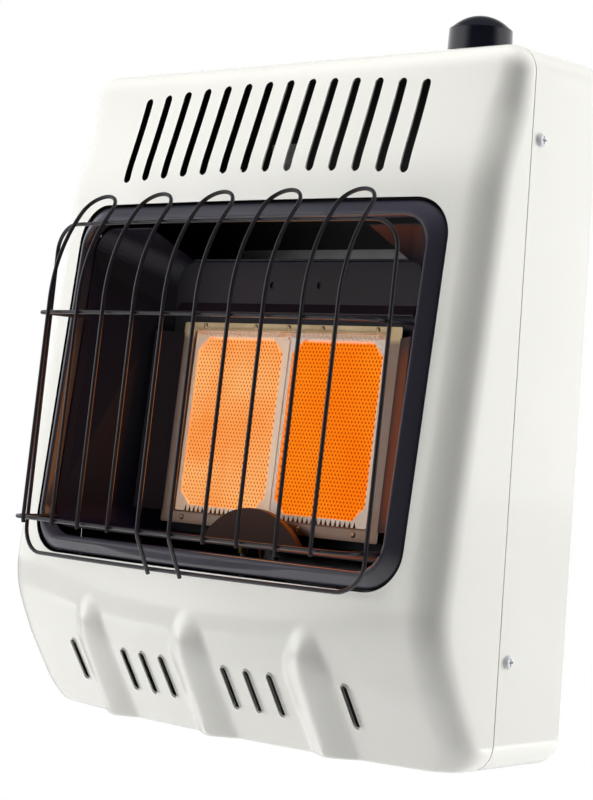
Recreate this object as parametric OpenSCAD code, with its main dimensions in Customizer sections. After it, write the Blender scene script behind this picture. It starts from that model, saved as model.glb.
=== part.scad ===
/* [Cabinet] */
// Width of the cabinet
cab_w = 407; // [380:1:440]
// Height of the cabinet
cab_h = 481; // [465:1:520]
// Depth of the rear casing, from the wall to the seam
casing_d = 74; // [68:1:84]
// Radius of the four corners, seen from the front
corner_r = 20; // [14:1:26]
// Sheet thickness of the rear casing
casing_t = 1; // [0.8:0.1:1.5]
// Sheet thickness of the front cover
cover_t = 1.2; // [1:0.1:1.6]

/* [Cover profile] */
// Depth of the cover at its bottom edge, on the centre line
base_d = 119.5; // [112:0.5:126]
// Depth at the knee under the window, before rounding
knee_d = 163; // [158:0.5:170]
// Height of the knee
knee_z = 69; // [62:1:76]
// Rounding radius of the knee
knee_r = 70; // [40:1:80]
// Depth at the brow over the window, before rounding
brow_d = 123; // [118:0.5:128]
// Height of the brow
brow_z = 395; // [388:1:402]
// Depth where the louvre slope would reach the top
crown_d = 93; // [91:0.5:98]
// Rounding radius of the crown
crown_r = 24; // [16:1:26]
// Rounding radius of the two upright front corners
front_corner_r = 22; // [14:1:26]
// How far the front face bows back at its sides
bow_mid = 10.5; // [4:0.5:14]
// How far the face under the knee bows back at its sides
bow_low = 24; // [16:0.5:28]

/* [Louvres and ribs] */
// Number of slots in the top louvre
louvre_count = 14; // [8:1:16]
// Distance between the louvre slots
louvre_pitch = 20.3; // [17:0.1:22]
// Width of a louvre slot
louvre_w = 5; // [3:0.5:6]
// Length of a louvre slot
louvre_len = 67; // [50:1:70]
// Width of a lower air slot
air_slot_w = 4.5; // [3:0.5:6]
// Length of a lower air slot
air_slot_len = 30; // [20:1:34]
// Distance between the lower air slots of a group
air_slot_pitch = 20.1; // [16:0.1:22]
// Distance between the pressed ribs
rib_pitch = 103; // [95:1:110]
// Width of a pressed rib
rib_w = 38; // [28:1:42]
// Height of a pressed rib over the sheet
rib_h = 8; // [4:0.5:10]

/* [Window and bezel] */
// Width of the window opening
window_w = 350; // [330:1:360]
// Height of the window opening
window_h = 260; // [250:1:264]
// Height of the window's lower edge over the cabinet's bottom
window_z = 115.7; // [112:0.1:120]
// Corner radius of the window
window_r = 28; // [20:1:34]
// Width of the black bezel
bezel_w = 13; // [10:0.5:15]
// Depth of the bezel's inner lip
bezel_lip = 12; // [8:0.5:14]

/* [Guard] */
// Wire diameter of the guard
wire_d = 3.2; // [2.4:0.1:3.6]
// Distance between the upright wires
wire_pitch = 30.5; // [28:0.5:32]
// Distance of the upper bar from the wall, on the centre line
bar_up_d = 184.3; // [178:0.5:190]
// Height of the upper bar
bar_up_z = 291; // [286:1:298]
// Distance of the lower bar from the wall, on the centre line
bar_low_d = 195.1; // [190:0.5:200]
// Height of the lower bar
bar_low_z = 141.5; // [138:0.5:146]
// Radius of the bend over the upright wires' tops
guard_bend_r = 120; // [105:1:130]

/* [Burner] */
// Width of one ceramic tile
tile_w = 92; // [88:1:94]
// Height of one ceramic tile
tile_h = 132; // [126:1:134]
// Thickness of a tile
tile_t = 13; // [10:0.5:14]
// Distance from the wall to the tiles' lower front edge
burner_d = 84.5; // [82:0.5:88]
// Height of the tiles' lower edge
burner_z = 151.8; // [150:0.2:154]
// Lean of the burner towards the wall, in degrees
burner_lean = 5.1; // [3:0.1:6]
// Depth of the burner body
burner_body_d = 36; // [30:1:40]

/* [Control] */
// Diameter of the control knob
knob_d = 45.2; // [38:0.2:48]
// Height of the knob's skirt
knob_skirt_h = 17.2; // [14:0.1:20]
// Height of the knob's dome
knob_dome_h = 9.2; // [7:0.1:12]
// Distance of the knob's axis from the middle of the cabinet
knob_x = 127.5; // [124:0.5:132]
// Diameter of the control stem
stem_d = 8; // [6:0.1:9]
// How far the knob can be pressed
press_travel = 3.5; // [2:0.1:3.8]
// Depth of the gas inlet's bore
inlet_len = 16; // [12:1:20]
// Radius of the gas inlet's bore
inlet_r = 7.4; // [6:0.1:8]

/* [Wall bracket] */
// Length of the wall bracket
bracket_w = 280; // [240:1:300]
// Height of the wall bracket
bracket_h = 40; // [36:1:46]
// Distance between the two wall screws
wall_screw_pitch = 200; // [180:1:220]
// Radius of the wall screw holes
wall_screw_r = 3.2; // [2.5:0.1:4]
// Height of the wall screws over the cabinet's bottom
hang_z = 428; // [426:1:436]

/* [Hidden] */
$fn = 48;

// One overrun serves all cuts
over = 2;
// Clearance between two pieces that seat in each other
seat_gap = 0.3;
// Clearance of a screw or pipe in its hole
hole_gap = 0.15;
// Running clearance of a turning or sliding shaft
run_gap = 0.05;
half_w = cab_w / 2;
// Gap of the visible seam between cover and casing
seam_gap = 0.5;
seam_y = -casing_d - seam_gap;

// Shares of the cover profile where the bow changes
bow_low_share = 0.8;
bow_mid_share = 1.6;
crown_flat = 2;
base_edge_r = 5;
base_flat = 10;
brow_r = 150;
inner_row_step = 30;
outer_row_step = 22;
rib_cols = 12;
edge_cols = 5;
corner_steps = 5;

// Ribs: the tip lies in the knee, the crest keeps standing out as the sheet recedes
rib_tip_z = knee_z + knee_r * sin(lean_low() / 2 + lean_mid() / 2) * 0.95;
rib_run = 32;
rib_low_h = rib_h * 1.5;

function lean_low() = atan((knee_d - base_d) / knee_z);
function lean_mid() = atan((knee_d - brow_d) / (brow_z - knee_z));

function unit(v) = v / norm(v);
function mix(a, b, t) = a + (b - a) * t;
function smooth(t) = let (s = min(1, max(0, t))) s * s * (3 - 2 * s);

// Points of a round bend of radius r at b, on the way from a to c
function bend(a, b, c, r, n) =
    let (u = unit(a - b), v = unit(c - b), half = acos(u * v) / 2, turn = 180 - 2 * half)
    let (m = b + unit(u + v) * r / sin(half))
    let (s = b + u * r / tan(half) - m, e = b + v * r / tan(half) - m)
    [for (i = [0:n]) m + (s * sin(turn * (1 - i / n)) + e * sin(turn * i / n)) / sin(turn)];

// A path with a round bend at each inner point, of one radius or one for each
function rounded(p, r, n) = [
    p[0],
    for (i = [1:len(p) - 2]) each bend(p[i - 1], p[i], p[i + 1], is_list(r) ? r[i - 1] : r, n),
    p[len(p) - 1]
];

// The same path with its long stretches cut into steps
function stepped(p, step) = [
    for (i = [0:len(p) - 2])
        let (n = max(1, ceil(norm(p[i + 1] - p[i]) / step)))
        for (k = [0:n - 1]) mix(p[i], p[i + 1], k / n),
    p[len(p) - 1]
];

// Depth of the flat window face, and of the bowed face at any place
function window_y(z) = -mix(knee_d, brow_d, (z - knee_z) / (brow_z - knee_z));
function bow(z) = z > brow_z
    ? bow_mid * (1 - pow((z - brow_z) / (cab_h - brow_z), 3))
    : mix(bow_low, bow_mid, smooth((z / knee_z - bow_low_share) / (bow_mid_share - bow_low_share)));
function face_y(x, z) = window_y(z) + bow(z) * pow(x / half_w, 2);

// Height of the pressed ribs over the sheet
function rib_at(u, t) =
    let (v = abs(u) / max(0.01, sqrt(min(1, t))))
    v < 1 && t > 0 ? (1 - pow(v, 1.3)) * smooth(min(1, t * 1.2)) : 0;
function rib_y(x, z) =
    let (t = (rib_tip_z - z) / rib_run)
    let (h = mix(rib_h, rib_low_h, min(1, max(0, 1 - z / knee_z))))
    h * max([for (k = [-1:1]) rib_at((x - k * rib_pitch) / (rib_w / 2), t)]);

// Side profile of the cover on its centre line, as [y, z]
profile = rounded([
    [-(base_d - base_flat), 0],
    [-base_d, 0],
    [-knee_d, knee_z],
    [-brow_d, brow_z],
    [-crown_d, cab_h],
    [-(casing_d + crown_flat), cab_h]
], [base_edge_r, knee_r, brow_r, crown_r], 6);

// Half the cover's width at a height, with its round corners in the front view
function corner_in(e) = e < corner_r ? corner_r - sqrt(corner_r * corner_r - pow(corner_r - e, 2)) : 0;
function half_at(z) = half_w - corner_in(max(0, min(z, cab_h - z)));

// One closed section of the cover at a height, from the left seam round the front to the right seam
function cover_ring(row, inset, back, ribs) =
    let (y0 = row[0], z0 = row[1], b = bow(z0), w = half_at(z0) - inset)
    let (free = -casing_d - (y0 + b), r = min(front_corner_r, max(1, 0.85 * free)))
    let (xf = w - r, inner = ribs ? rib_cols + 2 : 4, last = inner + edge_cols)
    let (reach = ribs ? inner * rib_pitch / rib_cols : xf / 2)
    let (xs = [for (k = [-last:last]) let (a = abs(k))
        sign(k) * (a <= inner ? reach * a / inner : mix(reach, xf, (a - inner) / edge_cols))])
    let (ye = y0 + b * pow(xf / half_w, 2), slope = 2 * b * xf / (half_w * half_w))
    let (yc = min(back, ye + r * (1 + slope / 2)), k4 = 0.55)
    let (p0 = [xf, ye], p1 = [xf + k4 * r, ye + k4 * r * slope])
    let (p2 = [w, mix(yc, ye, k4)], p3 = [w, yc])
    let (corner = [for (i = [1:corner_steps]) let (t = i / corner_steps, s = 1 - t)
        p0 * s * s * s + p1 * 3 * s * s * t + p2 * 3 * s * t * t + p3 * t * t * t])
    let (yi = inset)
    [
        [-w, back, z0],
        for (i = [corner_steps - 1:-1:0]) [-corner[i][0], corner[i][1] + yi, z0],
        for (x = xs) [x, y0 + b * pow(x / half_w, 2) + yi - (ribs ? rib_y(x, z0) : 0), z0],
        for (i = [0:corner_steps - 1]) [corner[i][0], corner[i][1] + yi, z0],
        [w, back, z0]
    ];

// Faces of a skin over rings of points, open with two caps or closed onto itself
function skin_faces(m, n, closed) = [
    if (!closed) [for (k = [0:n - 1]) k],
    if (!closed) [for (k = [n - 1:-1:0]) (m - 1) * n + k],
    for (i = [0:m - (closed ? 1 : 2)]) for (k = [0:n - 1])
        let (a = i * n + k, b = i * n + (k + 1) % n)
        let (c = ((i + 1) % m) * n + (k + 1) % n, d = ((i + 1) % m) * n + k)
        each [[a, d, c], [a, c, b]]
];

module skin(rings, closed = false) {
    polyhedron(
        points = [for (r = rings) each r],
        faces = skin_faces(len(rings), len(rings[0]), closed),
        convexity = 6
    );
}

// A round wire or pipe along a path
function headings(p) = [for (i = [0:len(p) - 1])
    unit(p[min(i + 1, len(p) - 1)] - p[max(i - 1, 0)])];
function carried(t, n, i = 0) = i >= len(t)
    ? []
    : let (m = unit(n - (n * t[i]) * t[i])) concat([m], carried(t, m, i + 1));
function hoop(c, t, n, r, sides) = [for (k = [0:sides - 1])
    c + r * (cos(360 * k / sides) * n + sin(360 * k / sides) * cross(t, n))];

module pipe(path, r, sides = 8, side = [0, -1, 0.01]) {
    t = headings(path);
    n = carried(t, side);
    skin([for (i = [0:len(path) - 1]) hoop(path[i], t[i], n[i], r, sides)]);
}

// Everything is drawn from the cabinet's bottom and set down on the wall screws' height
module placed() {
    translate([0, 0, -hang_z]) children();
}

module rounded_rect(w, h, r) {
    square([w - 2 * r, h], center = true);
    square([w, h - 2 * r], center = true);
    for (x = [-1, 1], y = [-1, 1])
        translate([x * (w / 2 - r), y * (h / 2 - r)]) circle(r);
}

// An outline in the front view, pushed from depth y0 towards the wall
module from_front(y0, depth) {
    translate([0, y0, 0]) rotate([90, 0, 0]) mirror([0, 0, 1]) linear_extrude(depth) children();
}

// Front cover
tab_len = 30;
tab_h = 16;
tab_reach = 18;
screw_back = 9.7;
screw_zs = [knee_z + tab_h * 0.3, cab_h - knee_z + tab_h * 0.4];
side_screw_r = 2;
lip_d = 8;
louvre_mid_z = brow_z + louvre_len / 2 - 1;
louvre_arch = 6;
louvre_low_arch = 3.7;
air_slot_z = knee_z * 0.57;
air_slot_places = [-3.5, -2.5, -1.5, 1.5, 2.5, 3.5];

module cover_form(inset, back, ribs, step) {
    rows = stepped(profile, step);
    skin([for (r = rows)
        let (z = inset + r[1] * (cab_h - 2 * inset) / cab_h)
        [for (p = cover_ring(r, inset, back, ribs)) [p[0], p[1], z]]]);
}

// A slot with round ends, standing upright in the front view
module slot_cut(x, z_low, z_high, w) {
    hull()
        for (z = [z_low + w / 2, z_high - w / 2])
            translate([x, -casing_d - over, z]) rotate([90, 0, 0]) cylinder(d = w, h = knee_d, $fn = 16);
}

module window_cut(grow, y0, depth) {
    translate([0, 0, window_z + window_h / 2])
        from_front(y0, depth)
            rounded_rect(window_w + 2 * grow, window_h + 2 * grow, window_r + grow);
}

module front_cover() {
    color("ivory") placed() {
        difference() {
            union() {
                difference() {
                    cover_form(0, seam_y, true, outer_row_step);
                    cover_form(cover_t, seam_y + over, false, inner_row_step);
                }
                intersection() {
                    window_cut(cover_t, -knee_d - over, knee_d);
                    difference() {
                        cover_form(0, seam_y, false, outer_row_step);
                        translate([0, lip_d, 0]) cover_form(0, seam_y + over, false, outer_row_step);
                    }
                }
            }
            window_cut(0, -knee_d - rib_w, knee_d);
            for (k = [0:louvre_count - 1]) {
                x = (k - (louvre_count - 1) / 2) * louvre_pitch;
                rise = 1 - pow(2 * (k - (louvre_count - 1) / 2) / (louvre_count - 1), 2);
                slot_cut(x, louvre_mid_z - louvre_len / 2 + louvre_low_arch * rise - louvre_low_arch / 2,
                    louvre_mid_z + louvre_len / 2 + louvre_arch * rise - louvre_arch / 2, louvre_w);
            }
            for (k = air_slot_places)
                slot_cut(k * air_slot_pitch, air_slot_z - air_slot_len / 2, air_slot_z + air_slot_len / 2,
                    air_slot_w);
            for (s = [-1, 1])
                slot_cut(s * (rib_pitch + air_slot_pitch * 1.35), air_slot_z - air_slot_len / 2,
                    air_slot_z + air_slot_len / 2, air_slot_w);
        }
        for (s = [-1, 1], z = screw_zs)
            difference() {
                union() {
                    translate([s * (half_w - casing_t - seat_gap - cover_t / 2), seam_y + tab_reach - tab_len / 2, z])
                        cube([cover_t, tab_len, tab_h], center = true);
                    translate([s * (half_w - casing_t - seat_gap), seam_y - (tab_len - tab_reach) / 2 - seam_gap, z])
                        cube([cover_t, tab_len - tab_reach - seam_gap, tab_h], center = true);
                }
                translate([0, -casing_d + screw_back, z]) rotate([0, 90, 0])
                    cylinder(r = side_screw_r + hole_gap, h = cab_w, center = true, $fn = 24);
            }
    }
}

// Rear casing
back_gap = 7;
panel_y = -back_gap - casing_t;
intake_w = 60;
intake_slot = 5;
intake_count = 6;
intake_pitch = 12;
lower_screw_z = 40;
neck_r = 8;
regulator_boss_r = 12;
hook_w = 30;
hook_t = 2;
hook_x = bracket_w / 4;
hook_drop = 8;
hook_rise = 14;
hook_z = hang_z - hook_drop;
hook_slot_h = hook_rise + hook_t;
valve_y = -casing_d / 2;

module rear_casing() {
    color("ivory") placed() difference() {
        translate([0, 0, cab_h / 2]) difference() {
            from_front(-casing_d, casing_d) rounded_rect(cab_w, cab_h, corner_r);
            from_front(-casing_d - over, casing_d + over + panel_y)
                rounded_rect(cab_w - 2 * casing_t, cab_h - 2 * casing_t, corner_r - casing_t);
            from_front(panel_y + casing_t, back_gap + over)
                rounded_rect(cab_w - 2 * casing_t, cab_h - 2 * casing_t, corner_r - casing_t);
        }
        for (x = [-hook_x, hook_x])
            translate([x - hook_w / 2 - seat_gap, panel_y - over, hook_z + hook_t - hook_slot_h])
                cube([hook_w + 2 * seat_gap, casing_t + 2 * over, hook_slot_h]);
        for (x = [-wall_screw_pitch / 2, wall_screw_pitch / 2])
            translate([x, panel_y - over, lower_screw_z]) rotate([-90, 0, 0])
                cylinder(r = wall_screw_r, h = casing_t + 2 * over);
        for (k = [0:intake_count - 1], s = [-1, 1])
            translate([s * intake_w - intake_w / 2, -casing_d / 2 + (k - (intake_count - 1) / 2) * intake_pitch / 1.5
                - intake_slot / 2, -over])
                cube([intake_w, intake_slot, casing_t + 2 * over]);
        translate([knob_x, valve_y, cab_h - casing_t - over]) cylinder(r = neck_r + hole_gap, h = casing_t + 2 * over);
        translate([regulator_x, valve_y, -over]) cylinder(r = regulator_boss_r + hole_gap, h = casing_t + 2 * over);
        for (z = screw_zs)
            translate([0, -casing_d + screw_back, z]) rotate([0, 90, 0])
                cylinder(r = side_screw_r + hole_gap, h = cab_w + 2 * over, center = true);
    }
}

// Wall bracket: a strip against the wall with two raised hooks
module wall_bracket() {
    color("silver") placed() {
        difference() {
            translate([-bracket_w / 2, -hook_t, hang_z - bracket_h / 2]) cube([bracket_w, hook_t, bracket_h]);
            for (x = [-wall_screw_pitch / 2, wall_screw_pitch / 2])
                translate([x, over, hang_z]) rotate([90, 0, 0]) cylinder(r = wall_screw_r, h = hook_t + 2 * over);
        }
        for (x = [-hook_x, hook_x]) {
            translate([x - hook_w / 2, panel_y - casing_t - hook_t, hook_z])
                cube([hook_w, -panel_y + casing_t, hook_t]);
            translate([x - hook_w / 2, panel_y - casing_t - hook_t, hook_z]) cube([hook_w, hook_t, hook_rise]);
        }
    }
}

// Side screws with a cross recess
screw_head_r = 4.9;
screw_head_h = 2.4;
screw_len = 8;
recess_w = 1.2;
recess_len = 5.4;
recess_d = 1.4;

module side_screw() {
    difference() {
        union() {
            cylinder(r1 = screw_head_r, r2 = screw_head_r * 0.7, h = screw_head_h);
            translate([0, 0, -screw_len]) cylinder(r = side_screw_r, h = screw_len + screw_head_h / 2);
        }
        for (a = [0, 90])
            rotate([0, 0, a]) translate([-recess_len / 2, -recess_w / 2, screw_head_h - recess_d])
                cube([recess_len, recess_w, recess_d + over]);
    }
}

module side_screws() {
    color("lightgray") placed()
        for (s = [-1, 1], z = screw_zs)
            translate([s * half_w, -casing_d + screw_back, z]) rotate([0, s * 90, 0]) side_screw();
}

// Window bezel: a pressed frame that is flat where the cover is bowed
bezel_t = 1;
bezel_back = 2.5;
bezel_roll = 1.5;
loop_steps = 8;

// A rounded rectangle in the front view as a ring of points, with its depth given by kind
function loop_xz(w, z0, z1, r) = [
    for (q = [[1, 1, 0], [-1, 1, 90], [-1, -1, 180], [1, -1, 270]])
        for (i = [0:loop_steps])
            [q[0] * (w / 2 - r) + r * cos(q[2] + 90 * i / loop_steps),
             (q[1] > 0 ? z1 - r : z0 + r) + r * sin(q[2] + 90 * i / loop_steps)]
];
function bezel_ring(inset, drop, bowed) = [
    for (p = loop_xz(window_w - 2 * inset, window_z + inset, window_z + window_h - inset, window_r - inset / 2))
        [p[0], (bowed ? face_y(p[0], p[1]) : window_y(p[1])) + drop, p[1]]
];
bar_ends_x = window_w / 2 - bezel_w - wire_d / 2;

module window_bezel() {
    color("#14151f") placed()
        skin([
            bezel_ring(cover_t, bezel_back, true),
            bezel_ring(bezel_w - bezel_roll, bezel_roll, false),
            bezel_ring(bezel_w, 2 * bezel_roll, false),
            bezel_ring(bezel_w, bezel_lip, false),
            bezel_ring(bezel_w - bezel_t, bezel_lip, false),
            bezel_ring(bezel_w - bezel_t, 2 * bezel_roll + bezel_t, false),
            bezel_ring(bezel_w - bezel_roll - bezel_t, bezel_roll + bezel_t, false),
            bezel_ring(cover_t, bezel_back + bezel_t, true)
        ], true);
}

// Guard
guard_bow = 9;
frame_w = 323;
frame_r = 20;
frame_z0 = window_z;
frame_z1 = bar_up_z + 66;
frame_side_d = 154;
frame_lean = 15;
frame_up_bow = 9;
frame_low_bow = 13;
bar_reach = 30;
bar_bend_r = 8;
leg_tail = 8;
leg_tail_r = 4;
guard_turn = 39.5;
crest_rise = 8;

function bar_path(d, z) =
    let (x = frame_w / 2 - wire_d, n = 12)
    let (row = [for (i = [-n:n]) let (s = i / n) [s * (x - bar_bend_r), -d + guard_bow * s * s, z]])
    let (side = -d + guard_bow)
    let (end = bend([0, side, z], [x, side + wire_d / 2, z], [x, side + bar_reach, z], bar_bend_r, 3))
    [
        [-x, window_y(z) + bezel_lip, z],
        for (i = [3:-1:1]) [-end[i][0], end[i][1], z],
        each row,
        for (i = [1:3]) end[i],
        [x, window_y(z) + bezel_lip, z]
    ];

function leg_y(z) = mix(-bar_low_d, -bar_up_d, (z - bar_low_z) / (bar_up_z - bar_low_z)) - wire_d;

function frame_y(x, z) =
    let (t = (z - frame_z0) / (frame_z1 - frame_z0))
    -frame_side_d - frame_lean * (1 - t)
        - mix(frame_low_bow, frame_up_bow, t) * (1 - pow(2 * x / frame_w, 2));

function hairpin_path(k) =
    let (x0 = (2 * k - 4.5) * wire_pitch, x1 = x0 + wire_pitch, xm = (x0 + x1) / 2, r = wire_pitch / 2)
    let (long = k == 2, b = guard_bow * pow(xm / (frame_w / 2), 2))
    let (low_z = long ? frame_z0 : bar_low_z, y_low = leg_y(low_z) + b)
    let (y_foot = long ? frame_y(xm, frame_z0) - wire_d : y_low)
    let (lean = atan((leg_y(bar_low_z) - leg_y(bar_up_z)) / (bar_low_z - bar_up_z)))
    let (crest = [for (i = [0:6]) let (a = lean + (guard_turn - lean) * i / 6)
        [leg_y(bar_up_z + crest_rise) + b + guard_bend_r * (cos(lean) - cos(a)),
            bar_up_z + crest_rise + guard_bend_r * (sin(a) - sin(lean))]])
    let (tip = crest[6], dir = [sin(guard_turn), cos(guard_turn)])
    let (foot = [
        [y_foot + leg_tail, low_z - wire_d],
        [y_foot + wire_d / 2, low_z - wire_d],
        [y_foot, low_z],
        long ? [leg_y(bar_low_z) + b, bar_low_z - wire_d] : [leg_y(low_z + leg_tail) + b, low_z + leg_tail]
    ])
    let (leg = concat(foot, crest))
    [
        for (p = leg) [x0, p[0], p[1]],
        for (a = [20:20:160]) [xm - r * cos(a), tip[0] + dir[0] * r * sin(a), tip[1] + dir[1] * r * sin(a)],
        for (i = [len(leg) - 1:-1:0]) [x1, leg[i][0], leg[i][1]]
    ];

module guard_frame() {
    p = stepped([for (q = loop_xz(frame_w, frame_z0, frame_z1, frame_r)) [q[0], q[1]]], 26);
    path = [for (q = concat(p, [p[0]])) [q[0], frame_y(q[0], q[1]), q[1]]];
    m = len(path) - 1;
    ring = [for (i = [0:m - 1])
        let (t = unit(path[i + 1] - path[(i + m - 1) % m]), f = [0, -1, 0], n = unit(f - (f * t) * t))
        hoop(path[i], t, n, wire_d / 2, 8)];
    color("#2b2c31") placed() skin(ring, true);
}

module guard_bar_upper() {
    color("#2b2c31") placed() pipe(bar_path(bar_up_d, bar_up_z), wire_d / 2, 8, [0, 0, 1]);
}

module guard_bar_lower() {
    color("#2b2c31") placed() pipe(bar_path(bar_low_d, bar_low_z), wire_d / 2, 8, [0, 0, 1]);
}

module guard_hairpin(k) {
    color("#2b2c31") placed() pipe(hairpin_path(k), wire_d / 2, 8);
}

// Firebox: a splayed tray behind the bezel, open at the top, with the burner in its back
box_t = 1;
box_floor_z = window_z + bezel_w + 6;
box_back_y = -68;
box_back_w = 244;
box_top_z = window_z + window_h - bezel_w - 4;
box_back_top_z = box_top_z - 20;
box_r = 18;
box_front_gap = 0.3;
frame_out = 6;
body_t = 1.2;
body_edge = 8;
gasket_t = 4.5;
body_w = 2 * tile_w + 2 * gasket_t + 2 * body_t + tile_split();
function tile_split() = 1.6;
body_h = tile_h + 2 * body_edge;

function box_front(inset) = [
    for (p = loop_xz(window_w - 2 * bezel_w - 2 * inset, box_floor_z + inset, box_top_z - inset, box_r))
        [p[0], window_y(p[1]) + bezel_lip + box_front_gap, p[1]]
];
function box_back(inset, y) = [
    for (p = loop_xz(box_back_w - 2 * inset, box_floor_z + inset, box_back_top_z - inset, box_r))
        [p[0], y, p[1]]
];

// Frame of the leaning burner: its origin is the tiles' lower front edge
module on_burner() {
    translate([0, -burner_d, burner_z]) rotate([-burner_lean, 0, 0]) children();
}

module firebox() {
    color("#17161c") placed() difference() {
        skin([
            box_back(0, box_back_y + box_t),
            box_front(0),
            box_front(box_t),
            box_back(box_t, box_back_y)
        ]);
        translate([-box_back_w / 2 + box_r, -knee_d, box_back_top_z - box_t - seat_gap])
            cube([box_back_w - 2 * box_r, knee_d + box_back_y - over, window_h]);
        on_burner() translate([-body_w / 2 - seat_gap, -over, -body_edge - seat_gap])
            cube([body_w + 2 * seat_gap, burner_body_d, body_h + 2 * seat_gap]);
        on_burner() translate([inlet_x - elbow_room, burner_body_d / 2 - elbow_room, -body_edge - elbow_r])
            cube([2 * elbow_room, burner_body_d / 2 + elbow_room, elbow_r]);
        for (x = pilot_xs)
            translate([x, pilot_y, box_floor_z - over]) cylinder(r = pilot_hole_r, h = box_t + 2 * over, $fn = 24);
    }
}

// Baffle plate over the burner with a slanted lip
baffle_w = 228;
baffle_t = 1;
baffle_z = burner_z + 155;
baffle_h = 28;
baffle_lip = 6;
baffle_hole_x = 22.7;
baffle_hole_r = 2.5;

module heat_baffle() {
    y = box_back_y - seat_gap - baffle_t;
    color("#2e2226") placed() difference() {
        translate([-baffle_w / 2, 0, 0]) rotate([90, 0, 90]) linear_extrude(baffle_w)
            polygon([
                [y + baffle_t, baffle_z], [y + baffle_t, baffle_z + baffle_h], [y, baffle_z + baffle_h],
                [y, baffle_z + baffle_t / 2], [y - baffle_lip, baffle_z - baffle_lip],
                [y - baffle_lip + baffle_t / 2, baffle_z - baffle_lip - baffle_t]
            ]);
        for (x = [-baffle_hole_x, baffle_hole_x])
            translate([x, y - over, baffle_z + baffle_h / 2]) rotate([-90, 0, 0])
                cylinder(r = baffle_hole_r, h = baffle_t + 2 * over);
    }
}

// Side reflectors, flaring forward beside the tiles
reflector_w = 18;
reflector_fwd = 12;
reflector_t = 0.8;
reflector_h = tile_h + 2;

module reflector(s) {
    x = s * (body_w / 2 + frame_out - reflector_t);
    color("#8a5a3a") placed() on_burner() translate([0, -frame_t - gasket_face, -1])
        linear_extrude(reflector_h)
            polygon([[x, 0], [x + s * reflector_w, -reflector_fwd],
                [x + s * (reflector_w + reflector_t), -reflector_fwd], [x + s * reflector_t * 1.5, 0]]);
}

// Burner body: a sheet box behind the tiles
frame_t = 1;
frame_lap = 2;
gasket_face = 0.6;
inlet_x = -8;
venturi_r = 12;
elbow_r = 22;
elbow_room = venturi_r + 4;

module burner_body() {
    color("#8d8f93") placed() on_burner() difference() {
        translate([-body_w / 2, 0, -body_edge]) cube([body_w, burner_body_d, body_h]);
        translate([-body_w / 2 + body_t, -over, -body_edge + body_t])
            cube([body_w - 2 * body_t, burner_body_d - body_t + over, body_h - 2 * body_t]);
        translate([inlet_x, burner_body_d / 2, -body_edge - over])
            cylinder(r = venturi_r - body_t, h = body_t + 2 * over);
    }
}

// Ceramic tiles with a raised rim round the burning face
tile_rim = 4;
tile_cut = 12;
tile_sunk = 0.8;

module tile(s) {
    face_w = tile_w - 2 * tile_rim;
    face_h = tile_h - 2.5 * tile_rim;
    x0 = s > 0 ? tile_split() / 2 : -tile_split() / 2 - tile_w;
    color("#ff8a2a") placed() on_burner() difference() {
        translate([x0, 0, 0]) cube([tile_w, tile_t, tile_h]);
        translate([x0 + tile_w / 2, -over, tile_h / 2]) rotate([-90, 0, 0]) linear_extrude(over + tile_sunk)
            polygon([for (q = [[-1, -1], [1, -1], [1, 1], [-1, 1]]) each
                let (a = [q[0] * (face_w / 2 - tile_cut), q[1] * face_h / 2])
                let (b = [q[0] * face_w / 2, q[1] * (face_h / 2 - tile_cut)])
                q[0] * q[1] > 0 ? [b, a] : [a, b]]);
    }
}

// Ceramic fibre gasket round the tiles, with a strip over their joint
module tile_gasket() {
    w = body_w - 2 * body_t;
    h = body_h - 2 * body_t;
    color("#e8e2d4") placed() on_burner() {
        difference() {
            translate([-w / 2, 0, -body_edge + body_t]) cube([w, tile_t, h]);
            translate([-tile_w - tile_split() / 2, -over, 0])
                cube([2 * tile_w + tile_split(), tile_t + 2 * over, tile_h]);
        }
        translate([-tile_split(), -gasket_face, frame_lap + seat_gap])
            cube([2 * tile_split(), gasket_face, tile_h - 2 * (frame_lap + seat_gap)]);
    }
}

// Retaining frame in front of the tiles
module burner_frame() {
    w = body_w + 2 * frame_out;
    h = body_h + 2;
    color("#b9975b") placed() on_burner() difference() {
        translate([-w / 2, -frame_t - gasket_face + seat_gap, -body_edge - 1]) cube([w, frame_t, h]);
        translate([-tile_w - tile_split() / 2 + frame_lap, -over - frame_t, frame_lap])
            cube([2 * (tile_w - frame_lap) + tile_split(), 2 * over + frame_t, tile_h - 2 * frame_lap]);
        for (x = burner_screw_xs, z = burner_screw_zs)
            translate([x, -over, z]) rotate([90, 0, 0])
                cylinder(r = burner_screw_r + hole_gap, h = 3 * over, center = true, $fn = 24);
    }
}

burner_screw_r = 1.6;
burner_screw_head_r = 2.9;
burner_screw_head_h = 1.6;
burner_screw_xs = [-0.9, -0.35, 0, 0.35, 0.9] * tile_w;
burner_screw_zs = [-body_edge / 2 + 0.5, tile_h + body_edge / 2 - 0.5];

module burner_screws() {
    y = -frame_t - gasket_face + seat_gap;
    color("#a9884f") placed() on_burner()
        for (x = burner_screw_xs, z = burner_screw_zs)
            translate([x, y, z]) rotate([90, 0, 0]) {
                cylinder(r = burner_screw_head_r, h = burner_screw_head_h, $fn = 24);
                translate([0, 0, -frame_t]) cylinder(r = burner_screw_r, h = frame_t, $fn = 24);
            }
}

// Venturi: mixing tube that turns up into the burner body
venturi_x = 118;
throat_r = 8;
bell_len = 16;

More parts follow.
